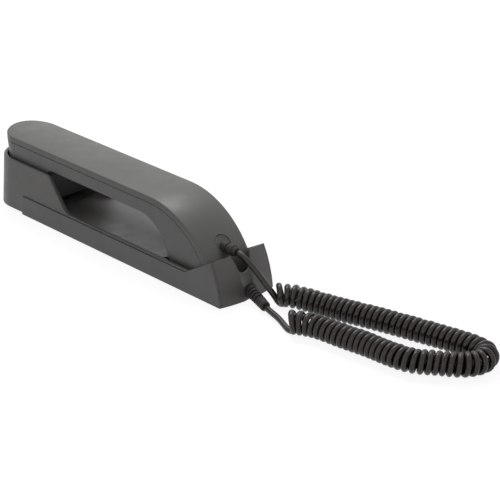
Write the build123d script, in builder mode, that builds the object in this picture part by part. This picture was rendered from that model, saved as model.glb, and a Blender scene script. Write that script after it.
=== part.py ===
from build123d import *
import os
from math import acos, asin, cos, degrees, pi, radians, sin, sqrt, tan

# Audio intercom handset lying in its cradle, with its curly cord on the same surface.
# Millimetres. +X runs from the ear end to the mouth end, +Z is up, and the origin is the
# bottom centre of the cradle.

os.makedirs("parts", exist_ok=True)

# Cradle as a whole
cradle_length = 231.2
cradle_width = 43.7
foot_stand = 0.5
overrun = 12.0
fit_gap = 0.15
run_gap = 0.3

# Bowed end face: a surface turned about an upright line inside the cradle
end_bow_radius = 82.0
end_lean = 9.7
end_lean_height = 30.0
end_bulge = 1.85
end_wall = 2.0

# Cradle housing
shell_width = 42.4
rim_width = 41.8
rim_height = 36.1
rim_setback = 4.0
shell_wall = 2.4
side_wall = 2.0
skirt_lift = 1.0
rail_height = 14.9
rail_width = 2.7
cut_top_x = -50.3
cut_foot_x = -33.6
cut_top_round = 4.0
cut_foot_round = 8.0
rim_round = 0.7
deck_thick = 2.0
trough_dip = 2.3
trough_drop = 0.6
cup_floor = 10.5
pocket_end_x = -50.0
mouth_edge_x = 57.6
mouth_floor = 4.5
mouth_side_gap = 1.4
rest_rib_width = 2.0
rest_rib_length = 16.0
ear_rest_x = -98.0
mouth_rest_x = 84.0
notch_width = 15.2
notch_bottom_radius = 5.4
notch_bottom_z = 16.6
notch_lip_z = 27.9
valley_radius = 12.0
valley_depth = 0.5
duct_left_x = 104.9
duct_width = 13.0
duct_y = 1.5
duct_top = 12.0
duct_wall = 1.4
boss_radius = 3.6
housing_boss_x = (-92.0, 46.0)
housing_boss_y = 11.0

# Base tray with its two side plates
plate_thick = 2.0
side_plate_thick = 1.5
side_plate_top = 13.6
side_plate_left_x = -79.6
side_plate_round = 2.0
cheek_foot_x = 81.0
cheek_angle = 29.3
wall_hole_spacing = 60.0
wall_hole_radius = 2.1
cable_slot_length = 16.0
cable_slot_width = 9.0
cable_slot_x = 40.0
foot_radius = 4.0
foot_seat = 0.7
foot_mouth_x = 100.0
foot_mouth_y = 14.0
foot_ear_x = -102.0
foot_ear_y = 5.5

# Screws
screw_shank_radius = 1.25
screw_head_radius = 2.5
screw_head_height = 1.3
screw_clear_radius = 1.45
screw_slot_width = 0.8
screw_slot_depth = 0.6
screw_length = 7.5

# Handset outline, seen from the side
handset_width = 35.0
handset_left_x = -109.2
top_edge_z = 50.1
crown = 1.5
bend_x = 44.7
top_bend_radius = 60.5
band_height = 4.1
mouth_bottom_z = 6.7
mouth_inner_x = 65.2
mouth_lean_x = 58.8
mouth_lean_z = 22.4
grip_bottom_z = 38.0
grip_bend_radius = 25.6
ear_bottom_z = 13.7
ear_inner_x = -59.5
ear_corner_x = -50.0
ear_corner_radius = 8.0
body_end_taper = 7.0
body_side_taper = 1.0
body_wall = 2.0
cover_wall = 1.9
cover_edge_round = 0.9
parting_gap = 0.35
lip_depth = 2.2
lip_thick = 1.2
handset_boss_x = (-38.0, 22.0)
handset_boss_radius = 3.9
cover_boss_radius = 2.9
head_pocket_depth = 2.4

# Receiver and microphone
receiver_x = -84.0
receiver_radius = 13.5
receiver_height = 7.5
receiver_step = 1.5
gasket_thick = 1.0
gasket_inner_radius = 10.5
grille_hole_radius = 0.9
grille_ring_radii = (3.4, 6.8)
microphone_x = 80.0
microphone_radius = 4.85
microphone_height = 6.5
holder_wall = 1.6
weight_length = 34.0
weight_width = 20.0
weight_height = 5.0
weight_x = -7.0
weight_corner = 1.5
board_thick = 1.2
handset_board_length = 14.0
handset_board_width = 20.0
handset_board_x = 34.0
handset_board_z = 42.0
handset_post_radius = 1.5
handset_post_inset = 2.5
handset_post_root = 0.5
handset_plug_height = 3.0
handset_plug_length = 6.0
handset_plug_width = 9.0

# Handset gland
gland_angle = 40.0
gland_recess_radius = 5.7
gland_recess_depth = 0.9
gland_flange_thick = 0.7
gland_radius = 2.9
gland_end_round = 0.5
gland_end_x = 103.0
gland_droop = 14.0
gland_tail = 6.0
gland_lip_radius = 4.6
gland_lip_thick = 1.0

# Hook switch plunger
plunger_x = -66.0
plunger_radius = 4.5
plunger_bore_radius = 3.3
plunger_flange_radius = 6.0
plunger_flange_thick = 1.2
plunger_crown = 1.4
plunger_rest_gap = 0.3
spring_pin_radius = 1.8
spring_pin_height = 3.5
spring_wire = 0.5
spring_radius = 2.55
spring_turns = 5
switch_length = 12.8
switch_width = 6.5
switch_height = 5.4
switch_nub = 1.0
switch_nub_width = 2.5

# Cradle circuit board
board_length = 40.0
board_width = 26.0
board_stand = 1.0
board_post_radius = 2.0
board_hole_radius = 1.1
board_pin_radius = 1.0
board_inset = 3.5
terminal_length = 17.5
terminal_width = 7.6
terminal_height = 4.6
terminal_y = -6.5
terminal_ways = 5
terminal_mouth = 2.2
chip_length = 9.9
chip_width = 6.0
chip_height = 1.6
chip_y = 6.5

# Cord boot in the end wall
boot_y = 1.7
boot_z = 5.2
boot_yaw = 18.5
boot_droop = 4.0
boot_length = 20.6
boot_base_radius = 3.8
boot_end_radius = 3.1
boot_neck_radius = 2.2
boot_flange_radius = 2.9
boot_flange_thick = 1.2
boot_flange_depth = 3.2
boot_seat_radius = 4.3
boot_seat_depth = 0.9
boot_slots = 4
boot_slot_start = 2.4
boot_slot_pitch = 3.1
boot_slot_width = 1.3
boot_slot_height = 6.4
boot_web = 3.6

# Cord
wire_diameter = 3.0
coil_wire_radius = 1.6
coil_sides = 4
coil_radius = 5.75
coil_floor_gap = 0.1
coil_pitch = 3.9
coil_open_pitch = 5.2
coil_inner_pitch = 4.15
coil_open_turns = 4
coil_start_angle = 85
coil_lead_run = 4.8
coil_samples_share = 10
small_share = 0.02
route_run_share = 0.45

# Route of the handset lead, between its first run out of the gland and the coil
lead_first_run = 5.5
handset_lead_route = [
    (113.9, 0.6, 23.6),
    (118.5, 1.9, 19.6),
    (123.4, 3.0, 14.8),
]
coil_start = (128.4, 4.2, 9.6)

# Middle line of the coil on the floor, from the handset's side round to the cradle's
coil_route = [
    (134.4, 8.2),
    (156.0, 14.6),
    (178.0, 20.6),
    (199.0, 26.8),
    (221.0, 32.0),
    (243.0, 38.2),
    (258.0, 42.4),
    (269.9, 40.7),
    (276.4, 31.8),
    (274.6, 22.0),
    (265.8, 15.4),
    (251.0, 9.0),
    (233.0, 2.2),
    (214.0, -1.0),
    (196.0, -2.6),
    (182.0, -5.0),
    (172.5, -8.4),
    (163.8, -12.9),
]

# Route of the cradle lead, between its first run out of the boot and the coil
cradle_lead_route = [
    (148.4, -8.5, 3.1),
]
coil_end = (156.4, -11.0, 2.5)

# Derived sizes of the cradle
half_length = cradle_length / 2
half_width = cradle_width / 2
half_shell = shell_width / 2
half_rim = rim_width / 2
reach = cradle_length
tray_top = foot_stand + plate_thick
end_axis_x = half_length - end_bow_radius
skirt_z = foot_stand + skirt_lift
plate_inner_y = half_width - side_plate_thick
wall_outer_y = plate_inner_y - fit_gap
wall_inner_y = wall_outer_y - side_wall
rail_inner_y = half_shell - rail_width
cheek_slope = tan(radians(cheek_angle))
trough_low = rail_height - trough_drop - trough_dip
deck_under = trough_low - deck_thick
cup_under = cup_floor - deck_thick


def turn_between(first, last):
    """Angle between two ways, in radians."""
    return acos(max(-1, min(1, dot(unit(first), unit(last)))))


def route_radii(points):
    """The largest arc that each corner of a route allows."""
    radii = []
    for before, corner, after in zip(points, points[1:], points[2:]):
        runs = (span(before, corner), span(corner, after))
        shorter = min(size(run) for run in runs)
        radii.append(route_run_share * shorter / tan(turn_between(*runs) / 2))
    return radii


def blend_value(first, last, share):
    """The value that lies at a share of the way from first to last."""
    return first + (last - first) * share


def away(point, way, distance):
    """The point that lies a distance from another along a way."""
    return tuple(p + w * distance for p, w in zip(point, way))


def span(first, last):
    """The vector from one point to another."""
    return tuple(b - a for a, b in zip(first, last))


def dot(first, last):
    """Scalar product of two vectors."""
    return sum(a * b for a, b in zip(first, last))


def size(vector):
    """Length of a vector."""
    return sqrt(dot(vector, vector))


def unit(vector):
    """The vector at a length of one."""
    length = size(vector)
    return tuple(v / length for v in vector)


def half_round_plan(height, left, half, right):
    """Plan with a half-round left end and a straight right end, at a height."""
    with BuildSketch(Plane.XY.offset(height)) as plan:
        with BuildLine():
            Line((right, -half), (left + half, -half))
            ThreePointArc((left + half, -half), (left, 0), (left + half, half))
            Polyline((left + half, half), (right, half), (right, -half))
        make_face()
    return plan.sketch


def shell_block(low, high, inset, right):
    """The housing's drafted block between two heights, drawn in by an inset."""
    plans = []
    for height in (low, high):
        share = (height - foot_stand) / (rim_height - foot_stand)
        left = -half_length + rim_setback * share + inset
        half = blend_value(half_shell, half_rim, share) - inset
        plans.append(half_round_plan(height, left, half, right))
    with BuildPart() as block:
        loft(plans, ruled=True)
    return block.part


def round_corner(corner, radius):
    """Round the corner of the current outline that lies nearest a point."""
    fillet(vertices().sort_by_distance(corner)[0], radius)


def end_form(inset):
    """Everything to the left of the bowed end face, drawn in by an inset."""
    tip = half_length - inset
    head_x = tip - end_lean
    middle_x = tip - end_lean / 2 + end_bulge
    with BuildPart() as form:
        with BuildSketch(Plane.XZ):
            with BuildLine():
                Line((tip, -overrun), (tip, 0))
                ThreePointArc((tip, 0), (middle_x, end_lean_height / 2), (head_x, end_lean_height))
                Polyline(
                    (head_x, end_lean_height),
                    (end_axis_x, end_lean_height),
                    (end_axis_x, -overrun),
                    (tip, -overrun),
                )
            make_face()
        revolve(axis=Axis((end_axis_x, 0, 0), (0, 0, 1)))
        with BuildSketch(Plane.XY.offset(-overrun)):
            with Locations(((end_axis_x - reach) / 2, 0)):
                Rectangle(end_axis_x + reach, reach)
        extrude(amount=rim_height + 2 * overrun)
    return form.part


def side_plate_outline(grow, side, y):
    """Side view of a side plate, grown by a clearance, at a distance from the middle."""
    left = side_plate_left_x - grow
    top = side_plate_top + grow
    with BuildSketch(Plane.XZ.offset(-side * y)) as outline:
        with BuildLine():
            Polyline(
                (left, foot_stand - grow),
                (left, top),
                (cheek_foot_x, top),
                (cheek_foot_x + reach, top + reach * cheek_slope),
                (cheek_foot_x + reach, foot_stand - grow),
                close=True,
            )
        make_face()
        round_corner((left, top), side_plate_round)
    return outline.sketch


def end_valley():
    """Round bar that follows the end face's bow and cuts its shallow valley."""
    tip = half_length + valley_radius - valley_depth
    with BuildPart() as bar:
        with BuildLine(Plane.XZ) as path:
            ThreePointArc(
                (tip, -foot_stand),
                (tip - end_lean / 2 + end_bulge, end_lean_height / 2),
                (tip - end_lean, end_lean_height),
            )
        with BuildSketch(Plane(origin=path.line @ 0, z_dir=path.line % 0)):
            Circle(valley_radius)
        sweep(path=path.line)
    return bar.part


outer_end = end_form(0)
valley = end_valley()
inner_end = end_form(end_wall)
tray_end = end_form(end_wall + fit_gap)

# Boot axis, from the outside of the end wall, and the slant of the wall there
boot_height_share = boot_z / end_lean_height
boot_x = (
    half_length
    - valley_depth
    - end_lean * boot_height_share
    + 4 * end_bulge * boot_height_share * (1 - boot_height_share)
)
boot_way = (
    cos(radians(boot_droop)) * cos(radians(boot_yaw)),
    -cos(radians(boot_droop)) * sin(radians(boot_yaw)),
    -sin(radians(boot_droop)),
)
boot_root = (boot_x, boot_y, boot_z)
boot_plane = Plane(origin=boot_root, x_dir=(boot_way[1], -boot_way[0], 0), z_dir=boot_way)
boot_seat = Plane(origin=boot_root, z_dir=(end_lean_height, 0, end_lean - 2 * end_bulge))
boot_tip = away(boot_root, boot_way, boot_length)

# Space for the handset's mouth end, inside the end wall
mouth_half = wall_outer_y - mouth_side_gap + fit_gap
with BuildPart() as mouth_space:
    with BuildSketch(Plane.XY.offset(mouth_floor)):
        with Locations(((mouth_edge_x + reach) / 2, 0)):
            Rectangle(reach - mouth_edge_x, 2 * mouth_half)
    extrude(amount=rim_height)
    add(inner_end, mode=Mode.INTERSECT)

# Duct that leads the cord from the end wall down under the mouth well
with BuildPart() as cord_duct:
    with BuildSketch(Plane.XY.offset(tray_top)):
        with Locations(((duct_left_x + half_length) / 2, duct_y)):
            Rectangle(half_length - duct_left_x, duct_width)
    extrude(amount=duct_top - tray_top)
    add(inner_end, mode=Mode.INTERSECT)
with BuildPart() as duct_space:
    with BuildSketch(Plane.XY):
        with Locations(((duct_left_x + duct_wall + half_length) / 2, duct_y)):
            Rectangle(half_length - duct_left_x - duct_wall, duct_width - 2 * duct_wall)
    extrude(amount=duct_top - duct_wall)
    add(inner_end, mode=Mode.INTERSECT)

# Space under the housing that the tray's plate fills
with BuildPart() as tray_space:
    with BuildSketch(Plane.XY):
        with Locations(((side_plate_left_x - fit_gap + reach) / 2, 0)):
            Rectangle(reach - side_plate_left_x + fit_gap, 2 * reach)
    extrude(amount=tray_top)
    add(inner_end, mode=Mode.INTERSECT)

outer_shell = shell_block(foot_stand, rim_height, 0, reach)
ear_pocket = shell_block(cup_floor, rim_height + overrun, shell_wall, pocket_end_x)
hollow_right_x = mouth_edge_x - side_wall
hollow_turn_x = pocket_end_x + side_wall
hollow_half = wall_inner_y - fit_gap
hollow_plan = half_round_plan(0, -half_length + shell_wall, hollow_half, hollow_right_x)

# Cradle housing: ear cup, rails, trough, mouth well and notched end wall in one moulding
with BuildPart() as cradle_housing:
    add(outer_shell)
    with BuildSketch(Plane.XZ):
        cheek_meet_x = cheek_foot_x + (rail_height - side_plate_top) / cheek_slope
        with BuildLine():
            Polyline(
                (-reach, skirt_z),
                (-reach, rim_height),
                (cut_top_x, rim_height),
                (cut_foot_x, rail_height),
                (cheek_meet_x, rail_height),
                (reach, rail_height + (reach - cheek_meet_x) * cheek_slope),
                (reach, foot_stand),
                (side_plate_left_x, foot_stand),
                (side_plate_left_x, skirt_z),
                close=True,
            )
        make_face()
        round_corner((cut_top_x, rim_height), cut_top_round)
        round_corner((cut_foot_x, rail_height), cut_foot_round)
    extrude(amount=reach, both=True, mode=Mode.INTERSECT)
    add(outer_end, mode=Mode.INTERSECT)
    # Ear pocket
    add(ear_pocket, mode=Mode.SUBTRACT)
    # Trough between the rails, a shallow arc across
    with BuildSketch(Plane.YZ.offset(pocket_end_x - fit_gap)):
        with BuildLine():
            ThreePointArc(
                (-rail_inner_y, trough_low + trough_dip),
                (0, trough_low),
                (rail_inner_y, trough_low + trough_dip),
            )
            Polyline(
                (rail_inner_y, trough_low + trough_dip),
                (rail_inner_y, rim_height + overrun),
                (-rail_inner_y, rim_height + overrun),
                (-rail_inner_y, trough_low + trough_dip),
            )
        make_face()
    extrude(amount=mouth_edge_x - pocket_end_x + 2 * fit_gap, mode=Mode.SUBTRACT)
    fillet(
        cradle_housing.edges().filter_by_position(
            Axis.Z, rim_height - fit_gap, rim_height + fit_gap
        ),
        rim_round,
    )
    add(mouth_space.part, mode=Mode.SUBTRACT)
    add(cord_duct.part)
    add(duct_space.part, mode=Mode.SUBTRACT)
    add(tray_space.part, mode=Mode.SUBTRACT)
    # Rebates for the side plates
    for side in (-1, 1):
        extrude(
            side_plate_outline(fit_gap, side, wall_outer_y),
            amount=-side * overrun,
            mode=Mode.SUBTRACT,
        )
    # Hollow under the cup and under the trough
    extrude(hollow_plan, amount=cup_under, mode=Mode.SUBTRACT)
    with BuildSketch(Plane.XY):
        with Locations(((hollow_turn_x + hollow_right_x) / 2, 0)):
            Rectangle(hollow_right_x - hollow_turn_x, 2 * hollow_half)
    extrude(amount=deck_under, mode=Mode.SUBTRACT)
    # Notch for the cord in the end wall
    notch_flare = notch_width / 2 - notch_bottom_radius
    notch_top = notch_lip_z + overrun
    notch_centre_z = notch_bottom_z + notch_bottom_radius
    notch_rise = notch_lip_z - notch_centre_z
    with BuildSketch(Plane.YZ.offset(mouth_edge_x + overrun)):
        with BuildLine():
            ThreePointArc(
                (-notch_bottom_radius, notch_centre_z),
                (0, notch_bottom_z),
                (notch_bottom_radius, notch_centre_z),
            )
            Polyline(
                (notch_bottom_radius, notch_centre_z),
                (notch_bottom_radius + notch_flare, notch_centre_z + notch_rise),
                (notch_bottom_radius + notch_flare, notch_top),
                (-notch_bottom_radius - notch_flare, notch_top),
                (-notch_bottom_radius - notch_flare, notch_centre_z + notch_rise),
                (-notch_bottom_radius, notch_centre_z),
            )
        make_face()
    extrude(amount=reach, mode=Mode.SUBTRACT)
    # Shallow valley below the notch
    add(valley, mode=Mode.SUBTRACT)
    # Seat and hole for the boot
    with BuildSketch(boot_seat.offset(-boot_seat_depth)):
        Circle(boot_seat_radius)
    extrude(amount=overrun, mode=Mode.SUBTRACT)
    with BuildSketch(boot_plane):
        Circle(boot_neck_radius + fit_gap)
    extrude(amount=overrun, both=True, mode=Mode.SUBTRACT)
    # Rests that the handset lies on
    for rest_x, floor_z, rest_z in (
        (ear_rest_x, cup_floor, ear_bottom_z),
        (mouth_rest_x, mouth_floor, mouth_bottom_z),
    ):
        with BuildSketch(Plane.XY.offset(floor_z)):
            with Locations((rest_x, 0)):
                Rectangle(rest_rib_width, rest_rib_length)
        extrude(amount=rest_z - floor_z - plunger_rest_gap)
    # Way for the plunger through the cup's floor
    with BuildSketch(Plane.XY.offset(cup_under)):
        with Locations((plunger_x, 0)):
            Circle(plunger_radius + run_gap)
    extrude(amount=deck_thick, mode=Mode.SUBTRACT)
    # Bosses for the housing screws
    for boss_x, roof_z in zip(housing_boss_x, (cup_under, deck_under)):
        for side in (-1, 1):
            with BuildSketch(Plane.XY.offset(tray_top)):
                with Locations((boss_x, side * housing_boss_y)):
                    Circle(boss_radius)
                    Circle(screw_shank_radius + fit_gap / 2, mode=Mode.SUBTRACT)
            extrude(amount=roof_z - tray_top)
cradle_housing.part.label = "cradle_housing"
export_step(cradle_housing.part, "parts/cradle_housing.step")

# Space that the end wall takes between the side plates
with BuildPart() as end_wall_space:
    with BuildSketch(Plane.XY):
        with Locations((half_length, 0)):
            Rectangle(half_length, 2 * plate_inner_y)
    extrude(amount=rim_height)
    add(tray_end, mode=Mode.SUBTRACT)

foot_places = (
    (foot_ear_x, -foot_ear_y),
    (foot_ear_x, foot_ear_y),
    (foot_mouth_x, -foot_mouth_y),
    (foot_mouth_x, foot_mouth_y),
)
cup_plate = half_round_plan(
    foot_stand,
    -half_length + shell_wall + fit_gap,
    hollow_half - fit_gap,
    side_plate_left_x + fit_gap,
)

# Base tray: plate, side plates with their cheeks, posts and spring pin
with BuildPart() as base_tray:
    with BuildSketch(Plane.XY.offset(foot_stand)):
        with Locations(((side_plate_left_x + reach) / 2, 0)):
            Rectangle(reach - side_plate_left_x, 2 * wall_inner_y)
    extrude(amount=plate_thick)
    add(tray_end, mode=Mode.INTERSECT)
    for side in (-1, 1):
        extrude(side_plate_outline(0, side, plate_inner_y), amount=-side * side_plate_thick)
        with BuildSketch(Plane.XY.offset(foot_stand)):
            edge_y = side * (wall_inner_y + half_width) / 2
            with Locations(((side_plate_left_x + half_length) / 2, edge_y)):
                Rectangle(half_length - side_plate_left_x, half_width - wall_inner_y)
        extrude(amount=plate_thick)
    add(outer_end, mode=Mode.INTERSECT)
    # The end wall stands between the side plates
    add(end_wall_space.part, mode=Mode.SUBTRACT)
    # Plate under the cup, inside its skirt
    extrude(cup_plate, amount=plate_thick)
    # Holes for the wall screws, on the middle line
    with BuildSketch(Plane.XY.offset(foot_stand)):
        with GridLocations(wall_hole_spacing, 0, 2, 1):
            Circle(wall_hole_radius)
        with Locations((cable_slot_x, 0)):
            SlotOverall(cable_slot_length, cable_slot_width, rotation=90)
    extrude(amount=plate_thick, mode=Mode.SUBTRACT)
    # Countersunk ways for the housing screws
    with BuildSketch(Plane.XY.offset(foot_stand)):
        for boss_x in housing_boss_x:
            for side in (-1, 1):
                with Locations((boss_x, side * housing_boss_y)):
                    Circle(screw_clear_radius)
    extrude(amount=plate_thick, mode=Mode.SUBTRACT)
    with BuildSketch(Plane.XY.offset(foot_stand)):
        for boss_x in housing_boss_x:
            for side in (-1, 1):
                with Locations((boss_x, side * housing_boss_y)):
                    Circle(screw_head_radius + fit_gap)
    extrude(amount=screw_head_height, mode=Mode.SUBTRACT)
    # Seats for the feet
    with BuildSketch(Plane.XY.offset(foot_stand)):
        with Locations(*foot_places):
            Circle(foot_radius + fit_gap)
    extrude(amount=foot_seat, mode=Mode.SUBTRACT)
    # Pin that holds the spring
    with BuildSketch(Plane.XY.offset(tray_top)):
        with Locations((plunger_x, 0)):
            Circle(spring_pin_radius)
    extrude(amount=spring_pin_height)
    # Posts and pins for the circuit board
    post_x = board_length / 2 - board_inset
    post_y = board_width / 2 - board_inset
    with BuildSketch(Plane.XY.offset(tray_top)):
        with GridLocations(2 * post_x, 2 * post_y, 2, 2):
            Circle(board_post_radius)
    extrude(amount=board_stand)
    with BuildSketch(Plane.XY.offset(tray_top + board_stand)):
        with GridLocations(2 * post_x, 2 * post_y, 2, 2):
            Circle(board_pin_radius)
    extrude(amount=board_thick + board_pin_radius)
base_tray.part.label = "base_tray"
export_step(base_tray.part, "parts/base_tray.step")

# Rubber feet, pressed into the tray
with BuildPart() as rubber_feet:
    with BuildSketch(Plane.XY):
        with Locations(*foot_places):
            Circle(foot_radius)
    extrude(amount=foot_stand + foot_seat)
rubber_feet.part.label = "rubber_feet"
export_step(rubber_feet.part, "parts/rubber_feet.step")


def screw(x, y, head_z, shank_length):
    """A slotted pan head with its shank standing up from head_z."""
    with BuildPart() as one:
        with BuildSketch(Plane.XY.offset(head_z)):
            with Locations((x, y)):
                Circle(screw_head_radius)
        extrude(amount=screw_head_height)
        with BuildSketch(Plane.XY.offset(head_z)):
            with Locations((x, y)):
                Rectangle(2 * screw_head_radius, screw_slot_width)
        extrude(amount=screw_slot_depth, mode=Mode.SUBTRACT)
        with BuildSketch(Plane.XY.offset(head_z + screw_head_height)):
            with Locations((x, y)):
                Circle(screw_shank_radius)
        extrude(amount=shank_length)
    return one.part


# Screws that hold the housing on the tray
with BuildPart() as housing_screws:
    for boss_x, roof_z in zip(housing_boss_x, (cup_under, deck_under)):
        for side in (-1, 1):
            shank = roof_z - foot_stand - screw_head_height - fit_gap
            add(screw(boss_x, side * housing_boss_y, foot_stand, shank))
housing_screws.part.label = "housing_screws"
export_step(housing_screws.part, "parts/housing_screws.step")

# Hook plunger: a hollow button with a flange that keeps it in the housing
plunger_top = ear_bottom_z - plunger_rest_gap
plunger_foot = tray_top + plunger_rest_gap
dome_radius = (plunger_radius ** 2 + plunger_crown ** 2) / (2 * plunger_crown)
dome_angle = degrees(acos(plunger_radius / dome_radius))
with BuildPart() as hook_plunger:
    with BuildSketch(Plane.XZ):
        with BuildLine():
            Polyline(
                (plunger_x + plunger_bore_radius, plunger_foot),
                (plunger_x + plunger_flange_radius, plunger_foot),
                (plunger_x + plunger_flange_radius, plunger_foot + plunger_flange_thick),
                (plunger_x + plunger_radius, plunger_foot + plunger_flange_thick),
                (plunger_x + plunger_radius, plunger_top - plunger_crown),
            )
            CenterArc(
                (plunger_x, plunger_top - dome_radius),
                dome_radius,
                dome_angle,
                90 - dome_angle,
            )
            Polyline(
                (plunger_x, plunger_top),
                (plunger_x, plunger_top - plunger_crown - spring_wire),
                (plunger_x + plunger_bore_radius, plunger_top - plunger_crown - spring_wire),
                (plunger_x + plunger_bore_radius, plunger_foot),
            )
        make_face()
    revolve(axis=Axis((plunger_x, 0, 0), (0, 0, 1)))
hook_plunger.part.label = "hook_plunger"
export_step(hook_plunger.part, "parts/hook_plunger.step")

# Return spring round the tray's pin, from the plate to the plunger's roof
spring_low = tray_top + spring_wire / 2
spring_high = plunger_top - plunger_crown - spring_wire * 3 / 2
with BuildPart() as hook_spring:
    with BuildLine(Plane((plunger_x, 0, spring_low))) as spring_path:
        Helix((spring_high - spring_low) / spring_turns, spring_high - spring_low, spring_radius)
    spring_plane = Plane(origin=spring_path.line @ 0, z_dir=spring_path.line % 0)
    with BuildSketch(spring_plane):
        RegularPolygon(spring_wire / 2, 4)
    sweep(path=spring_path.line, is_frenet=True)
hook_spring.part.label = "hook_spring"
export_step(hook_spring.part, "parts/hook_spring.step")

# Hook switch beside the plunger's flange
switch_left = plunger_x + plunger_flange_radius + run_gap + switch_nub
with BuildPart() as hook_switch:
    with BuildSketch(Plane.XY.offset(tray_top)):
        with Locations((switch_left + switch_length / 2, 0)):
            Rectangle(switch_length, switch_width)
    extrude(amount=switch_height)
    with BuildSketch(Plane.XY.offset(plunger_foot)):
        with Locations((switch_left - switch_nub / 2, 0)):
            Rectangle(switch_nub, switch_nub_width)
    extrude(amount=plunger_flange_thick)
hook_switch.part.label = "hook_switch"
export_step(hook_switch.part, "parts/hook_switch.step")

# Circuit board on its posts
board_z = tray_top + board_stand
with BuildPart() as circuit_board:
    with BuildSketch(Plane.XY.offset(board_z)):
        Rectangle(board_length, board_width)
        with GridLocations(2 * post_x, 2 * post_y, 2, 2):
            Circle(board_hole_radius, mode=Mode.SUBTRACT)
    extrude(amount=board_thick)
    with BuildSketch(Plane.XY.offset(board_z + board_thick)):
        with Locations((0, chip_y)):
            Rectangle(chip_length, chip_width)
    extrude(amount=chip_height)
circuit_board.part.label = "circuit_board"
export_step(circuit_board.part, "parts/circuit_board.step")

# Terminal block for the house wires
with BuildPart() as terminal_block:
    with BuildSketch(Plane.XY.offset(board_z + board_thick)):
        with Locations((0, terminal_y)):
            Rectangle(terminal_length, terminal_width)
    extrude(amount=terminal_height)
    terminal_pitch = terminal_length / terminal_ways
    with BuildSketch(Plane.XZ.offset(-terminal_y + terminal_width / 2)):
        with Locations((0, board_z + board_thick + terminal_height / 2)):
            with GridLocations(terminal_pitch, 0, terminal_ways, 1):
                Rectangle(terminal_mouth, terminal_mouth)
    extrude(amount=-terminal_width / 2, mode=Mode.SUBTRACT)
terminal_block.part.label = "terminal_block"
export_step(terminal_block.part, "parts/terminal_block.step")

# Handset: shared outlines
half_handset = handset_width / 2
parting_z = top_edge_z - band_height
parting_radius = top_bend_radius - band_height
bend_z = top_edge_z - top_bend_radius


def handset_block(high, inset):
    """The handset's plan with its half-round ear end, from the base up to a height.

    It tapers below the parting line, stands upright above it, and is drawn in by an inset.
    """
    top_left = handset_left_x + inset
    top_half = half_handset - inset
    low_left = top_left + parting_z * tan(radians(body_end_taper))
    low_half = top_half - parting_z * tan(radians(body_side_taper))
    top_plan = half_round_plan(parting_z, top_left, top_half, reach)
    low_plan = half_round_plan(0, low_left, low_half, reach)
    with BuildPart() as block:
        loft([low_plan, top_plan], ruled=True)
        extrude(top_plan, amount=high - parting_z)
    return block.part


def body_side(inset, roof):
    """Side view of the lower shell under its parting line, drawn in by an inset.

    The roof lifts the parting line, so that a cut runs out through it.
    """
    low_ear = ear_bottom_z + inset
    low_mouth = mouth_bottom_z + inset
    grip_z = grip_bottom_z + inset
    radius = parting_radius + roof
    tip_x = bend_x + sqrt(radius ** 2 - (low_mouth - bend_z) ** 2)
    tip_angle = degrees(asin((low_mouth - bend_z) / radius))
    lean_angle = degrees(acos((mouth_lean_x - grip_centre_x) / grip_bend_radius))
    inner_radius = grip_bend_radius + inset
    lean_x = grip_centre_x + inner_radius * cos(radians(lean_angle))
    lean_z = grip_centre_z + inner_radius * sin(radians(lean_angle))
    foot_run = (lean_z - low_mouth) * (mouth_inner_x - mouth_lean_x) / (mouth_lean_z - mouth_bottom_z)
    corner_radius = ear_corner_radius + inset
    corner_centre_x = ear_corner_x
    corner_centre_z = grip_bottom_z - ear_corner_radius
    with BuildSketch(Plane.XZ) as side:
        with BuildLine():
            Polyline((-reach, low_ear), (-reach, parting_z + roof), (bend_x, parting_z + roof))
            CenterArc((bend_x, bend_z), radius, 90, tip_angle - 90)
            Polyline((tip_x, low_mouth), (lean_x + foot_run, low_mouth), (lean_x, lean_z))
            CenterArc((grip_centre_x, grip_centre_z), inner_radius, lean_angle, 90 - lean_angle)
            Line((grip_centre_x, grip_z), (ear_corner_x, grip_z))
            CenterArc((corner_centre_x, corner_centre_z), corner_radius, 90, 90)
            Polyline(
                (corner_centre_x - corner_radius, corner_centre_z),
                (ear_inner_x - inset, low_ear),
                (-reach, low_ear),
            )
        make_face()
    return side.sketch


grip_centre_z = grip_bottom_z - grip_bend_radius
grip_centre_x = mouth_lean_x - sqrt(grip_bend_radius ** 2 - (mouth_lean_z - grip_centre_z) ** 2)

handset_form = handset_block(top_edge_z + overrun, 0)
body_inner_form = handset_block(top_edge_z + overrun, body_wall)

with BuildPart() as body_hollow:
    extrude(body_side(body_wall, band_height), amount=reach, both=True)
    add(body_inner_form, mode=Mode.INTERSECT)

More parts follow.
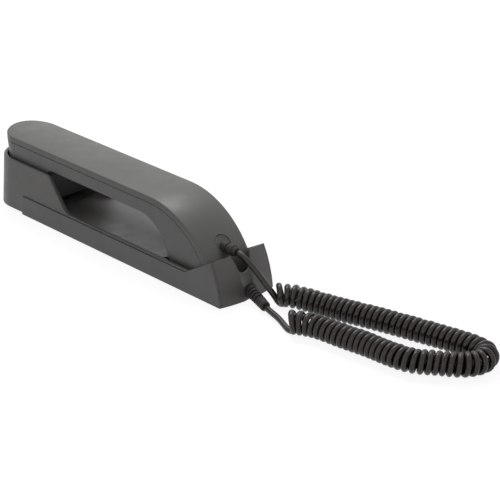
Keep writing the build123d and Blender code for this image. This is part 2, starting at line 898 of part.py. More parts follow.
# Lower shell of the handset, with its ear block and mouth block
with BuildPart() as handset_body:
    extrude(body_side(0, 0), amount=reach, both=True)
    add(handset_form, mode=Mode.INTERSECT)
    add(body_hollow.part, mode=Mode.SUBTRACT)
    # Sound holes under the receiver and the microphone
    with BuildSketch(Plane.XY.offset(ear_bottom_z)):
        with Locations((receiver_x, 0)):
            Circle(grille_hole_radius)
            for ring_radius, holes in zip(grille_ring_radii, (6, 12)):
                with PolarLocations(ring_radius, holes):
                    Circle(grille_hole_radius)
    extrude(amount=body_wall, mode=Mode.SUBTRACT)
    with BuildSketch(Plane.XY.offset(mouth_bottom_z)):
        with Locations((microphone_x, 0)):
            with GridLocations(3 * grille_hole_radius, 3 * grille_hole_radius, 3, 1):
                Circle(grille_hole_radius)
    extrude(amount=body_wall, mode=Mode.SUBTRACT)
    # Posts for the board
    with BuildSketch(Plane.XY.offset(grip_bottom_z + handset_post_root)):
        with Locations((handset_board_x, 0)):
            with GridLocations(
                handset_board_length - 2 * handset_post_inset,
                handset_board_width - 2 * handset_post_inset,
                2,
                2,
            ):
                Circle(handset_post_radius)
    extrude(amount=handset_board_z - grip_bottom_z - handset_post_root)
    # Screw wells in the grip
    for boss_x in handset_boss_x:
        with BuildSketch(Plane.XY.offset(grip_bottom_z)):
            with Locations((boss_x, 0)):
                Circle(handset_boss_radius)
        extrude(amount=head_pocket_depth + body_wall)
        with BuildSketch(Plane.XY.offset(grip_bottom_z)):
            with Locations((boss_x, 0)):
                Circle(screw_head_radius + fit_gap)
        extrude(amount=head_pocket_depth, mode=Mode.SUBTRACT)
        with BuildSketch(Plane.XY.offset(grip_bottom_z)):
            with Locations((boss_x, 0)):
                Circle(screw_clear_radius)
        extrude(amount=head_pocket_depth + body_wall, mode=Mode.SUBTRACT)
handset_body.part.label = "handset_body"
export_step(handset_body.part, "parts/handset_body.step")


def cover_path():
    """Side line that the back cover follows, along the parting line."""
    tip_angle = degrees(asin((mouth_bottom_z - bend_z) / (top_bend_radius + crown)))
    with BuildLine(Plane.XZ) as path:
        Line((-reach, parting_z), (bend_x, parting_z))
        CenterArc((bend_x, bend_z), parting_radius, 90, tip_angle - 90)
    return path.line


def cover_section(half, low, high, rise):
    """Crowned section across the cover, between two lifts above the parting line."""
    with BuildSketch(Plane.YZ.offset(-reach)) as section:
        with BuildLine():
            Polyline((-half, parting_z + high), (-half, parting_z + low), (half, parting_z + low))
            Line((half, parting_z + low), (half, parting_z + high))
            ThreePointArc(
                (half, parting_z + high),
                (0, parting_z + high + rise),
                (-half, parting_z + high),
            )
        make_face()
    return section.sketch


# Gland frame on the crown of the curved end
crown_radius = top_bend_radius + crown
gland_root = (
    bend_x + crown_radius * cos(radians(gland_angle)),
    0,
    bend_z + crown_radius * sin(radians(gland_angle)),
)
gland_out = (cos(radians(gland_angle)), 0, sin(radians(gland_angle)))
gland_way = (cos(radians(gland_droop)), 0, -sin(radians(gland_droop)))
gland_length = (gland_end_x - gland_root[0]) / gland_way[0]
gland_tip = away(gland_root, gland_way, gland_length)
gland_floor = away(gland_root, gland_out, -gland_recess_depth)
gland_seat = Plane(origin=gland_floor, z_dir=gland_out)
gland_axis = Plane(origin=gland_root, z_dir=gland_way)

# Spaces and the lip of the back cover
lip_half = half_handset - body_wall - fit_gap
cover_inner_half = lip_half - lip_thick
lip_form = handset_block(top_edge_z + overrun, body_wall + fit_gap)
cover_inner_form = handset_block(top_edge_z + overrun, body_wall + fit_gap + lip_thick)
with BuildPart() as cover_hollow:
    sweep(
        cover_section(cover_inner_half, -lip_depth - fit_gap, band_height - cover_wall, crown),
        path=cover_path(),
    )
    add(cover_inner_form, mode=Mode.INTERSECT)
    with BuildSketch(Plane.XY):
        Rectangle(2 * reach, 2 * reach)
    extrude(amount=mouth_bottom_z + cover_wall, mode=Mode.SUBTRACT)
with BuildPart() as cover_lip:
    sweep(cover_section(lip_half, -lip_depth, band_height / 2, crown / 2), path=cover_path())
    add(lip_form, mode=Mode.INTERSECT)
    with BuildSketch(Plane.XY):
        Rectangle(2 * reach, 2 * reach)
    extrude(amount=mouth_bottom_z + body_wall + fit_gap, mode=Mode.SUBTRACT)

# Back cover of the handset: crowned shell that follows the curve down to the mouth
well_top = grip_bottom_z + head_pocket_depth + body_wall
with BuildPart() as handset_back_cover:
    sweep(cover_section(half_handset, parting_gap, band_height, crown), path=cover_path())
    add(handset_form, mode=Mode.INTERSECT)
    fillet(
        handset_back_cover.faces().sort_by(Axis.Z)[-1].edges().group_by(SortBy.LENGTH)[-1],
        cover_edge_round,
    )
    add(cover_lip.part)
    add(cover_hollow.part, mode=Mode.SUBTRACT)
    for boss_x in handset_boss_x:
        with BuildSketch(Plane.XY.offset(well_top + fit_gap)):
            with Locations((boss_x, 0)):
                Circle(cover_boss_radius)
                Circle(screw_shank_radius + fit_gap / 2, mode=Mode.SUBTRACT)
        extrude(amount=top_edge_z - cover_wall + crown - well_top)
    # Seat of the gland
    with BuildSketch(gland_seat):
        Circle(gland_recess_radius)
    extrude(amount=gland_recess_depth + crown, mode=Mode.SUBTRACT)
    with BuildSketch(gland_axis):
        Circle(gland_radius + fit_gap)
    extrude(amount=overrun, both=True, mode=Mode.SUBTRACT)
handset_back_cover.part.label = "handset_back_cover"
export_step(handset_back_cover.part, "parts/handset_back_cover.step")

# Screws that hold the back cover on the body
with BuildPart() as handset_screws:
    for boss_x in handset_boss_x:
        head_z = grip_bottom_z + head_pocket_depth - screw_head_height
        add(screw(boss_x, 0, head_z, screw_length))
handset_screws.part.label = "handset_screws"
export_step(handset_screws.part, "parts/handset_screws.step")

# Gland that the cord leaves the handset by: flange, spout and inner lip
with BuildPart() as handset_cord_gland:
    with BuildSketch(gland_seat):
        Circle(gland_recess_radius - fit_gap)
    extrude(amount=gland_flange_thick)
    with BuildSketch(gland_seat.offset(gland_recess_depth - cover_wall - run_gap)):
        Circle(gland_lip_radius)
    extrude(amount=-gland_lip_thick)
    with BuildSketch(gland_axis.offset(-gland_tail)):
        Circle(gland_radius)
    extrude(amount=gland_tail + gland_length)
    fillet(
        handset_cord_gland.edges().filter_by(GeomType.CIRCLE).sort_by(Axis.X)[-1],
        gland_end_round,
    )
handset_cord_gland.part.label = "handset_cord_gland"
export_step(handset_cord_gland.part, "parts/handset_cord_gland.step")

# Receiver over its sound holes, on a foam gasket
ear_floor = ear_bottom_z + body_wall
with BuildPart() as receiver_gasket:
    with BuildSketch(Plane.XY.offset(ear_floor)):
        with Locations((receiver_x, 0)):
            Circle(receiver_radius)
            Circle(gasket_inner_radius, mode=Mode.SUBTRACT)
    extrude(amount=gasket_thick)
receiver_gasket.part.label = "receiver_gasket"
export_step(receiver_gasket.part, "parts/receiver_gasket.step")

with BuildPart() as receiver_capsule:
    with BuildSketch(Plane.XY.offset(ear_floor + gasket_thick)):
        with Locations((receiver_x, 0)):
            Circle(receiver_radius)
    extrude(amount=receiver_height / 2)
    with BuildSketch(Plane.XY.offset(ear_floor + gasket_thick + receiver_height / 2)):
        with Locations((receiver_x, 0)):
            Circle(receiver_radius - receiver_step)
    extrude(amount=receiver_height / 2)
receiver_capsule.part.label = "receiver_capsule"
export_step(receiver_capsule.part, "parts/receiver_capsule.step")

# Microphone in its rubber holder
mouth_block_floor = mouth_bottom_z + body_wall
with BuildPart() as microphone_capsule:
    with BuildSketch(Plane.XY.offset(mouth_block_floor)):
        with Locations((microphone_x, 0)):
            Circle(microphone_radius)
    extrude(amount=microphone_height)
microphone_capsule.part.label = "microphone_capsule"
export_step(microphone_capsule.part, "parts/microphone_capsule.step")

with BuildPart() as microphone_holder:
    with BuildSketch(Plane.XY.offset(mouth_block_floor)):
        with Locations((microphone_x, 0)):
            Circle(microphone_radius + fit_gap + holder_wall)
            Circle(microphone_radius + fit_gap, mode=Mode.SUBTRACT)
    extrude(amount=microphone_height)
microphone_holder.part.label = "microphone_holder"
export_step(microphone_holder.part, "parts/microphone_holder.step")

# Steel bar that gives the handset its weight
grip_floor = grip_bottom_z + body_wall
with BuildPart() as handset_weight:
    with BuildSketch(Plane.XY.offset(grip_floor)):
        with Locations((weight_x, 0)):
            Rectangle(weight_length, weight_width)
    extrude(amount=weight_height)
    chamfer(handset_weight.edges().filter_by(Axis.Z), weight_corner)
handset_weight.part.label = "handset_weight"
export_step(handset_weight.part, "parts/handset_weight.step")

# Board in the grip where the cord's wires are plugged
with BuildPart() as handset_board:
    with BuildSketch(Plane.XY.offset(handset_board_z)):
        with Locations((handset_board_x, 0)):
            Rectangle(handset_board_length, handset_board_width)
    extrude(amount=board_thick)
    with BuildSketch(Plane.XY.offset(handset_board_z + board_thick)):
        with Locations((handset_board_x, 0)):
            Rectangle(handset_plug_length, handset_plug_width)
    extrude(amount=handset_plug_height)
handset_board.part.label = "handset_board"
export_step(handset_board.part, "parts/handset_board.step")

# Slotted boot that the cord leaves the cradle by: a tapered sleeve whose slots leave a
# spine above, a spine below and a web between them, on a neck that holds it in the wall
with BuildPart() as cradle_cord_boot:
    with BuildSketch(boot_plane.offset(-boot_flange_depth)):
        Circle(boot_base_radius)
    with BuildSketch(boot_plane.offset(boot_length)):
        Circle(boot_end_radius)
    loft()
    split(bisect_by=boot_seat.offset(fit_gap - boot_seat_depth), keep=Keep.TOP)
    for slot in range(boot_slots):
        with BuildSketch(boot_plane.offset(boot_slot_start + slot * boot_slot_pitch)):
            Rectangle(2 * overrun, boot_slot_height)
            Rectangle(boot_web, boot_slot_height, mode=Mode.SUBTRACT)
        extrude(amount=boot_slot_width / 2, both=True, mode=Mode.SUBTRACT)
    with BuildSketch(boot_plane.offset(-boot_flange_depth)):
        Circle(boot_neck_radius)
    extrude(amount=boot_flange_depth + boot_slot_start)
    with BuildSketch(boot_plane.offset(-boot_flange_depth)):
        Circle(boot_flange_radius)
    extrude(amount=-boot_flange_thick)
cradle_cord_boot.part.label = "cradle_cord_boot"
export_step(cradle_cord_boot.part, "parts/cradle_cord_boot.step")


def lead_tube(points):
    """Round tube of the cord along a route, with the widest arcs that it allows."""
    radii = route_radii(points)
    print("lead radii", [round(radius, 1) for radius in radii])
    with BuildPart() as tube:
        with BuildLine() as path:
            FilletPolyline(*points, radius=radii)
        with BuildSketch(Plane(origin=points[0], z_dir=span(points[0], points[1]))):
            Circle(wire_diameter / 2)
        sweep(path=path.line)
    length = path.wire().length
    share = tube.part.volume / (pi * wire_diameter ** 2 / 4 * length)
    print("lead length", round(length, 2), "volume share", round(share, 4))
    return tube.part


# Free stretch of cord from the gland down to the coil
handset_lead_points = [
    gland_tip,
    away(gland_tip, gland_way, lead_first_run),
    *handset_lead_route,
    coil_start,
]
with BuildPart() as handset_lead:
    add(lead_tube(handset_lead_points))
handset_lead.part.label = "handset_lead"
export_step(handset_lead.part, "parts/handset_lead.step")

# Free stretch of cord from the boot to the coil
cradle_lead_points = [
    boot_tip,
    away(boot_tip, boot_way, lead_first_run),
    *cradle_lead_route,
    coil_end,
]
with BuildPart() as cradle_lead:
    add(lead_tube(cradle_lead_points))
cradle_lead.part.label = "cradle_lead"
export_step(cradle_lead.part, "parts/cradle_lead.step")

# Middle line of the coil, one wire radius above the floor at its lowest
coil_height = coil_radius + coil_wire_radius + coil_floor_gap
with BuildLine(Plane.XY.offset(coil_height)) as coil_axis:
    FilletPolyline(*coil_route, radius=route_radii(coil_route))
coil_length = coil_axis.wire().length


def axis_place(distance):
    """Point and way of the coil's middle line at a distance from its start."""
    share = max(0, min(1, distance / coil_length))
    point = coil_axis.line @ share
    way = coil_axis.line % share
    over = distance - share * coil_length
    return (point.X + way.X * over, point.Y + way.Y * over, point.Z), (way.X, way.Y, 0)


def axis_pitch(distance):
    """Spacing of the curls, wider at the ends and where the middle line bends."""
    back_way = axis_place(distance - coil_radius / 2)[1]
    next_way = axis_place(distance + coil_radius / 2)[1]
    bend = turn_between(back_way, next_way) / coil_radius
    pitch = max(coil_pitch, coil_inner_pitch / (1 - bend * coil_radius))
    open_length = coil_open_turns * coil_open_pitch
    if distance < open_length or distance > coil_length - open_length:
        pitch = max(pitch, coil_open_pitch)
    return pitch


def half_turn_distances():
    """Distances along the middle line of each half turn, an odd number of them."""
    places = [0]
    while places[-1] < coil_length or len(places) % 2 == 1:
        places.append(places[-1] + axis_pitch(places[-1]) / 2)
    shrink = coil_length / places[-1]
    return [place * shrink for place in places]


coil_places = half_turn_distances()


def curl_point(half_turns):
    """Point of the cord after a number of half turns, which rises on the near side."""
    index = max(0, min(len(coil_places) - 2, int(half_turns)))
    part_turn = half_turns - index
    distance = blend_value(coil_places[index], coil_places[index + 1], part_turn)
    (x, y, z), (way_x, way_y, _) = axis_place(distance)
    angle = radians(coil_start_angle) + pi * half_turns
    side = coil_radius * sin(angle)
    return (x + side * way_y, y - side * way_x, z - coil_radius * cos(angle))


def curl_way(half_turns):
    """Way of the cord after a number of half turns."""
    return unit(span(curl_point(half_turns - small_share), curl_point(half_turns + small_share)))


def biarc(first, first_way, last, last_way):
    """Middle point and middle way of the two arcs that join two places."""
    run = span(first, last)
    both = tuple(a + b for a, b in zip(first_way, last_way))
    spread = 2 * (1 - dot(first_way, last_way))
    reach_out = (sqrt(dot(run, both) ** 2 + spread * dot(run, run)) - dot(run, both)) / spread
    knee = away(first, first_way, reach_out)
    hip = away(last, last_way, -reach_out)
    return tuple((a + b) / 2 for a, b in zip(knee, hip)), unit(span(knee, hip))


start_way = unit(span(handset_lead_points[-2], coil_start))
end_way = unit(span(coil_end, cradle_lead_points[-2]))
curl_places = [(away(coil_start, start_way, coil_lead_run), start_way)]
for step in range(len(coil_places)):
    curl_places.append((curl_point(step), curl_way(step)))
curl_places.append((away(coil_end, end_way, -coil_lead_run), end_way))

# Curly cord: one unbroken tube, two arcs to each half turn
with BuildPart() as cord_coil:
    with BuildLine() as coil_path:
        Line(coil_start, curl_places[0][0])
        for (first, first_way), (last, last_way) in zip(curl_places, curl_places[1:]):
            middle, middle_way = biarc(first, first_way, last, last_way)
            TangentArc(first, middle, tangent=first_way)
            TangentArc(middle, last, tangent=middle_way)
        Line(curl_places[-1][0], coil_end)
    with BuildSketch(Plane(origin=coil_start, z_dir=start_way)):
        RegularPolygon(coil_wire_radius, coil_sides)
    sweep(path=coil_path.wire(), clean=False)
cord_coil.part.label = "cord_coil"
export_step(cord_coil.part, "parts/cord_coil.step")

# Least gap of the cord to itself, measured on points along its middle line
coil_samples = coil_samples_share * len(coil_places)
coil_points = [
    tuple(coil_path.line @ (index / coil_samples)) for index in range(coil_samples + 1)
]
near_skip = coil_samples_share
cord_gap = min(
    size(span(point, other))
    for index, point in enumerate(coil_points)
    for other in coil_points[index + near_skip:index + 4 * near_skip]
) - 2 * coil_wire_radius
cord_length = coil_path.wire().length
arc_radii = [edge.radius for edge in coil_path.edges().filter_by(GeomType.CIRCLE)]
print("curls", (len(coil_places) - 1) / 2, "cord length", round(cord_length, 1))
print("least arc radius", round(min(arc_radii), 2), "least gap", round(cord_gap, 2))
section_area = coil_sides * coil_wire_radius ** 2 * sin(2 * pi / coil_sides) / 2
print("coil volume share", round(cord_coil.part.volume / (section_area * cord_length), 4))
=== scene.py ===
"""Looks of the intercom handset, its cradle and its curly cord, around the CAD frame."""

import logging
import math
import random
from dataclasses import dataclass, field
from enum import Enum

import bpy
from mathutils import Matrix, Vector


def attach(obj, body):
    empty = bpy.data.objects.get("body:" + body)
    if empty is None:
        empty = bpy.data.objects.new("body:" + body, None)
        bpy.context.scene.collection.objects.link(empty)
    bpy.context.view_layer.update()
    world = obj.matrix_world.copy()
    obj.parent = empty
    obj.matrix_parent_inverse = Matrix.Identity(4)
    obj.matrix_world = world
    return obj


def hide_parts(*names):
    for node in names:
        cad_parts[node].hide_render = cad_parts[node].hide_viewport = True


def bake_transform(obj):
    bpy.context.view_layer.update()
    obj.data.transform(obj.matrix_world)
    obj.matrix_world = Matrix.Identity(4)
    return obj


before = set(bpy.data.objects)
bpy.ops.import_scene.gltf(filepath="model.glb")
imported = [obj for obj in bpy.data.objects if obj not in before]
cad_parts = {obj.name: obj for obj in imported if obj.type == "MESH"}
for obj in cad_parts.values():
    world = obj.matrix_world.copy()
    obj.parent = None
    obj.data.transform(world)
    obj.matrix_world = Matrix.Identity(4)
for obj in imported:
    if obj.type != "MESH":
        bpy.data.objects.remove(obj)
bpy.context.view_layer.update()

logging.basicConfig(level=logging.INFO, format="%(message)s")
log = logging.getLogger("handset")

MM = 0.001
WHITE = "#ffffff"
# Noise values mostly lie between these two, which stand for none and all of a pattern
NOISE_SPAN = {"From Min": 0.3, "From Max": 0.7}
# Turned fittings shade as sharp where two faces meet at more than these degrees
SHARP_ANGLE = 35.0

Point = tuple[float, float, float]
Pair = tuple[float, float]
Inputs = dict[str | int, object]
Tree = bpy.types.NodeTree
Node = bpy.types.Node
Socket = bpy.types.NodeSocket
Piece = bpy.types.Object


class Slot(Enum):
    """Material slots of the record."""

    HOUSING = "housing_plastic"
    TRAY = "tray_plastic"
    COVER = "handset_plastic"
    SHELL = "handset_shell_plastic"
    CORD = "cord_plastic"
    RUBBER = "cord_rubber"
    FOOT = "foot_rubber"
    BUTTON = "button_plastic"
    SCREW = "screw_steel"
    SPRING = "spring_steel"
    BOARD = "board_laminate"
    TERMINAL = "terminal_plastic"
    SWITCH = "switch_plastic"
    CAPSULE = "capsule_metal"
    FOAM = "gasket_foam"


class Body(Enum):
    """Bodies of the joints that the pieces made here ride."""

    CRADLE = "cradle"
    HANDSET = "handset"


def linear(code: str) -> tuple[float, float, float, float]:
    """Linear colour of an sRGB hex code.

    Args:
        code: colour as #rrggbb.

    Returns:
        Red, green, blue and an alpha of one.
    """
    shares = [int(code[start:start + 2], 16) / 255 for start in (1, 3, 5)]
    values = [
        share / 12.92 if share <= 0.04045 else ((share + 0.055) / 1.055) ** 2.4
        for share in shares
    ]
    return (*values, 1.0)


def add_node(tree: Tree, kind: str, inputs: Inputs | None = None, **settings: object) -> Node:
    """Add a node with its settings and its links.

    Args:
        tree: the tree that gets the node.
        kind: Blender's name of the node type.
        inputs: socket name or number to a plain value, or to the socket that feeds it.
        settings: properties of the node itself.

    Returns:
        The new node.
    """
    node = tree.nodes.new(kind)
    for name, value in settings.items():
        setattr(node, name, value)
    for name, value in (inputs or {}).items():
        if isinstance(value, Socket):
            tree.links.new(value, node.inputs[name])
        else:
            node.inputs[name].default_value = value
    return node


def set_stops(ramp: Node, *stops: tuple[float, str]) -> Socket:
    """Set the two stops of a colour ramp.

    Args:
        ramp: the ramp's node.
        stops: place and hex colour of each stop, in order.

    Returns:
        The ramp's colour socket.
    """
    for element, (place, code) in zip(ramp.color_ramp.elements, stops):
        element.position = place
        element.color = linear(code)
    return ramp.outputs["Color"]


def per_metre(spacing_mm: float) -> float:
    """Texture scale whose features are a spacing apart."""
    return 1 / (spacing_mm * MM)


@dataclass(frozen=True)
class Finish:
    """A material and the way that its surface was made."""

    name: str
    dark: str
    pale: str

    def material(self) -> bpy.types.Material:
        """Material with this finish, made once.

        Returns:
            The Blender material.
        """
        if self.name in bpy.data.materials:
            return bpy.data.materials[self.name]
        material = bpy.data.materials.new(self.name)
        material.use_nodes = True
        tree = material.node_tree
        tree.nodes.clear()
        shader = add_node(tree, "ShaderNodeBsdfPrincipled", self.surface(tree))
        add_node(tree, "ShaderNodeOutputMaterial", {"Surface": shader.outputs["BSDF"]})
        return material

    def surface(self, tree: Tree) -> Inputs:
        """Values and sockets that the shader gets; each finish has its own."""
        raise NotImplementedError


@dataclass(frozen=True)
class MouldedAbs(Finish):
    """ABS from a spark-eroded mould: an even satin grey whose fine grain breaks up its gloss."""

    # Paler colour painted along the edges: partly wear, partly a painted highlight on the
    # rounded edge
    edge: str
    # The mould's grain is about 0.15 mm; it is drawn at 0.7 mm, the finest that shows
    grain_mm: float = 0.7
    grain_depth_mm: float = 0.012
    # Tone drifts over some 35 mm, where the melt cooled at different rates
    drift_mm: float = 35.0
    speck_mm: float = 1.3
    speck_share: float = 0.35
    # Hands polish the gloss unevenly
    gloss_mm: float = 9.0
    least_rough: float = 0.38
    most_rough: float = 0.48
    # Edges of a moulding are rounded by about half a millimetre, and are painted paler in
    # patches, partly as wear and partly as a painted highlight
    edge_round_mm: float = 0.6
    edge_samples: int = 6
    # Where the rounded and the plain normal are this alike or less, it is all edge
    edge_likeness: float = 0.75
    wear_and_highlight_mm: float = 6.0
    least_wear_and_highlight: float = 0.25
    most_wear_and_highlight: float = 0.7

    def surface(self, tree: Tree) -> Inputs:
        """Broad tone drift, grain, and paler edges, painted in patches partly as wear and partly
        as a highlight.

        Args:
            tree: the material's tree.

        Returns:
            Values and sockets that the shader gets.
        """
        place = add_node(tree, "ShaderNodeTexCoord").outputs["Object"]
        rounded = add_node(
            tree,
            "ShaderNodeBevel",
            {"Radius": self.edge_round_mm * MM},
            samples=self.edge_samples,
        ).outputs["Normal"]
        grain = add_node(
            tree,
            "ShaderNodeTexNoise",
            {"Vector": place, "Scale": per_metre(self.grain_mm), "Detail": 3.0},
        ).outputs["Fac"]
        gloss = add_node(
            tree,
            "ShaderNodeTexNoise",
            {"Vector": place, "Scale": per_metre(self.gloss_mm)},
        ).outputs["Fac"]
        rough = {"To Min": self.least_rough, "To Max": self.most_rough}
        return {
            "Base Color": self.tone(tree, place, self.edge_wear_and_highlight(tree, place, rounded)),
            "Roughness": add_node(
                tree, "ShaderNodeMapRange", {"Value": gloss, **NOISE_SPAN, **rough}
            ).outputs["Result"],
            "Normal": add_node(
                tree,
                "ShaderNodeBump",
                {"Height": grain, "Distance": self.grain_depth_mm * MM, "Normal": rounded},
            ).outputs["Normal"],
            "IOR": 1.53,
        }

    def tone(self, tree: Tree, place: Socket, worn_and_highlit: Socket) -> Socket:
        """Colour that drifts, with specks and edges painted paler, partly as wear and partly as
        a highlight.

        Args:
            tree: the material's tree.
            place: the object's own coordinates.
            worn_and_highlit: how far the edge colour shows, from 0 to 1.

        Returns:
            The colour's socket.
        """
        drift = add_node(
            tree,
            "ShaderNodeTexNoise",
            {"Vector": place, "Scale": per_metre(self.drift_mm), "Detail": 1.0},
        ).outputs["Fac"]
        specks = add_node(
            tree,
            "ShaderNodeTexNoise",
            {"Vector": place, "Scale": per_metre(self.speck_mm)},
        ).outputs["Fac"]
        both = add_node(
            tree, "ShaderNodeMix", {"Factor": self.speck_share, "A": drift, "B": specks}
        ).outputs["Result"]
        share = add_node(tree, "ShaderNodeMapRange", {"Value": both, **NOISE_SPAN})
        ramp = add_node(tree, "ShaderNodeValToRGB", {"Fac": share.outputs["Result"]})
        base = set_stops(ramp, (0.1, self.dark), (0.9, self.pale))
        # The paler edge colour is painted over the base along edges, partly as wear and partly
        # as a painted highlight
        return add_node(
            tree,
            "ShaderNodeMix",
            {"Factor": worn_and_highlit, "A": base, "B": linear(self.edge)},
            data_type="RGBA",
        ).outputs["Result"]

    def edge_wear_and_highlight(self, tree: Tree, place: Socket, rounded: Socket) -> Socket:
        """How far an edge is painted paler, partly as wear and partly as a highlight: nothing on
        a flat face, in patches along an edge.

        Args:
            tree: the material's tree.
            place: the object's own coordinates.
            rounded: normal that is rounded near edges.

        Returns:
            Socket with values from 0 to 1.
        """
        plain = add_node(tree, "ShaderNodeNewGeometry").outputs["Normal"]
        likeness = add_node(
            tree, "ShaderNodeVectorMath", {0: rounded, 1: plain}, operation="DOT_PRODUCT"
        ).outputs["Value"]
        edge = add_node(
            tree,
            "ShaderNodeMapRange",
            {"Value": likeness, "From Min": 1.0, "From Max": self.edge_likeness},
        ).outputs["Result"]
        patches = add_node(
            tree,
            "ShaderNodeTexNoise",
            {"Vector": place, "Scale": per_metre(self.wear_and_highlight_mm)},
        ).outputs["Fac"]
        edge_wear_and_highlight = {"To Min": self.least_wear_and_highlight, "To Max": self.most_wear_and_highlight}
        wear_and_highlight_patches = add_node(
            tree, "ShaderNodeMapRange", {"Value": patches, **NOISE_SPAN, **edge_wear_and_highlight}
        ).outputs["Result"]
        return add_node(
            tree, "ShaderNodeMath", {0: edge, 1: wear_and_highlight_patches}, operation="MULTIPLY"
        ).outputs["Value"]


@dataclass(frozen=True)
class ExtrudedPvc(Finish):
    """PVC sheath, extruded smooth: near black, with a soft sheen and a little dust."""

    # Handling leaves haze in patches of about 5 mm
    haze_mm: float = 5.0
    least_rough: float = 0.26
    most_rough: float = 0.36
    # The skin of an extrusion has an orange peel of about 0.6 mm
    peel_mm: float = 0.6
    peel_depth_mm: float = 0.01

    def surface(self, tree: Tree) -> Inputs:
        """Patches of handling haze over a faint orange-peel skin.

        Args:
            tree: the material's tree.

        Returns:
            Values and sockets that the shader gets.
        """
        place = add_node(tree, "ShaderNodeTexCoord").outputs["Object"]
        haze = add_node(
            tree, "ShaderNodeTexNoise", {"Vector": place, "Scale": per_metre(self.haze_mm)}
        ).outputs["Fac"]
        peel = add_node(
            tree, "ShaderNodeTexNoise", {"Vector": place, "Scale": per_metre(self.peel_mm)}
        ).outputs["Fac"]
        share = add_node(tree, "ShaderNodeMapRange", {"Value": haze, **NOISE_SPAN})
        ramp = add_node(tree, "ShaderNodeValToRGB", {"Fac": share.outputs["Result"]})
        rough = {"To Min": self.least_rough, "To Max": self.most_rough}
        return {
            "Base Color": set_stops(ramp, (0.2, self.dark), (1.0, self.pale)),
            "Roughness": add_node(
                tree, "ShaderNodeMapRange", {"Value": haze, **NOISE_SPAN, **rough}
            ).outputs["Result"],
            "Normal": add_node(
                tree,
                "ShaderNodeBump",
                {"Height": peel, "Distance": self.peel_depth_mm * MM},
            ).outputs["Normal"],
            "IOR": 1.53,
            "Specular IOR Level": 0.4,
        }


@dataclass(frozen=True)
class MouldedRubber(Finish):
    """Moulded rubber: matt, with a pale bloom in places."""

    bloom_mm: float = 4.0
    least_rough: float = 0.62
    most_rough: float = 0.78
    # Grain of a blasted mould, 0.3 mm, drawn at 0.6 mm so that it shows
    grain_mm: float = 0.6
    grain_depth_mm: float = 0.02

    def surface(self, tree: Tree) -> Inputs:
        """Bloom in soft patches and a blasted mould's fine grain.

        Args:
            tree: the material's tree.

        Returns:
            Values and sockets that the shader gets.
        """
        place = add_node(tree, "ShaderNodeTexCoord").outputs["Object"]
        bloom = add_node(
            tree,
            "ShaderNodeTexNoise",
            {"Vector": place, "Scale": per_metre(self.bloom_mm), "Detail": 3.0},
        ).outputs["Fac"]
        grain = add_node(
            tree,
            "ShaderNodeTexNoise",
            {"Vector": place, "Scale": per_metre(self.grain_mm), "Detail": 3.0},
        ).outputs["Fac"]
        share = add_node(tree, "ShaderNodeMapRange", {"Value": bloom, **NOISE_SPAN})
        ramp = add_node(tree, "ShaderNodeValToRGB", {"Fac": share.outputs["Result"]})
        rough = {"To Min": self.least_rough, "To Max": self.most_rough}
        return {
            "Base Color": set_stops(ramp, (0.3, self.dark), (1.0, self.pale)),
            "Roughness": add_node(
                tree, "ShaderNodeMapRange", {"Value": bloom, **NOISE_SPAN, **rough}
            ).outputs["Result"],
            "Normal": add_node(
                tree,
                "ShaderNodeBump",
                {"Height": grain, "Distance": self.grain_depth_mm * MM},
            ).outputs["Normal"],
            "IOR": 1.52,
        }


@dataclass(frozen=True)
class PolishMoulded(Finish):
    """Acetal or nylon, moulded in a polished tool: glossy, with faint flow lines."""

    # Flow lines are about 1.5 mm apart and six times as long
    flow_mm: float = 1.5
    flow_length: float = 6.0
    flow_depth_mm: float = 0.01
    least_rough: float = 0.22
    most_rough: float = 0.34

    def surface(self, tree: Tree) -> Inputs:
        """Flow lines that run along the part.

        Args:
            tree: the material's tree.

        Returns:
            Values and sockets that the shader gets.
        """
        place = add_node(tree, "ShaderNodeTexCoord").outputs["Object"]
        drawn_out = add_node(
            tree,
            "ShaderNodeMapping",
            {"Vector": place, "Scale": (1 / self.flow_length, 1, 1)},
        ).outputs["Vector"]
        flow = add_node(
            tree,
            "ShaderNodeTexNoise",
            {"Vector": drawn_out, "Scale": per_metre(self.flow_mm)},
        ).outputs["Fac"]
        share = add_node(tree, "ShaderNodeMapRange", {"Value": flow, **NOISE_SPAN})
        ramp = add_node(tree, "ShaderNodeValToRGB", {"Fac": share.outputs["Result"]})
        rough = {"To Min": self.least_rough, "To Max": self.most_rough}
        return {
            "Base Color": set_stops(ramp, (0.0, self.dark), (1.0, self.pale)),
            "Roughness": add_node(
                tree, "ShaderNodeMapRange", {"Value": flow, **NOISE_SPAN, **rough}
            ).outputs["Result"],
            "Normal": add_node(
                tree,
                "ShaderNodeBump",
                {"Height": flow, "Distance": self.flow_depth_mm * MM},
            ).outputs["Normal"],
            "IOR": 1.48,
        }


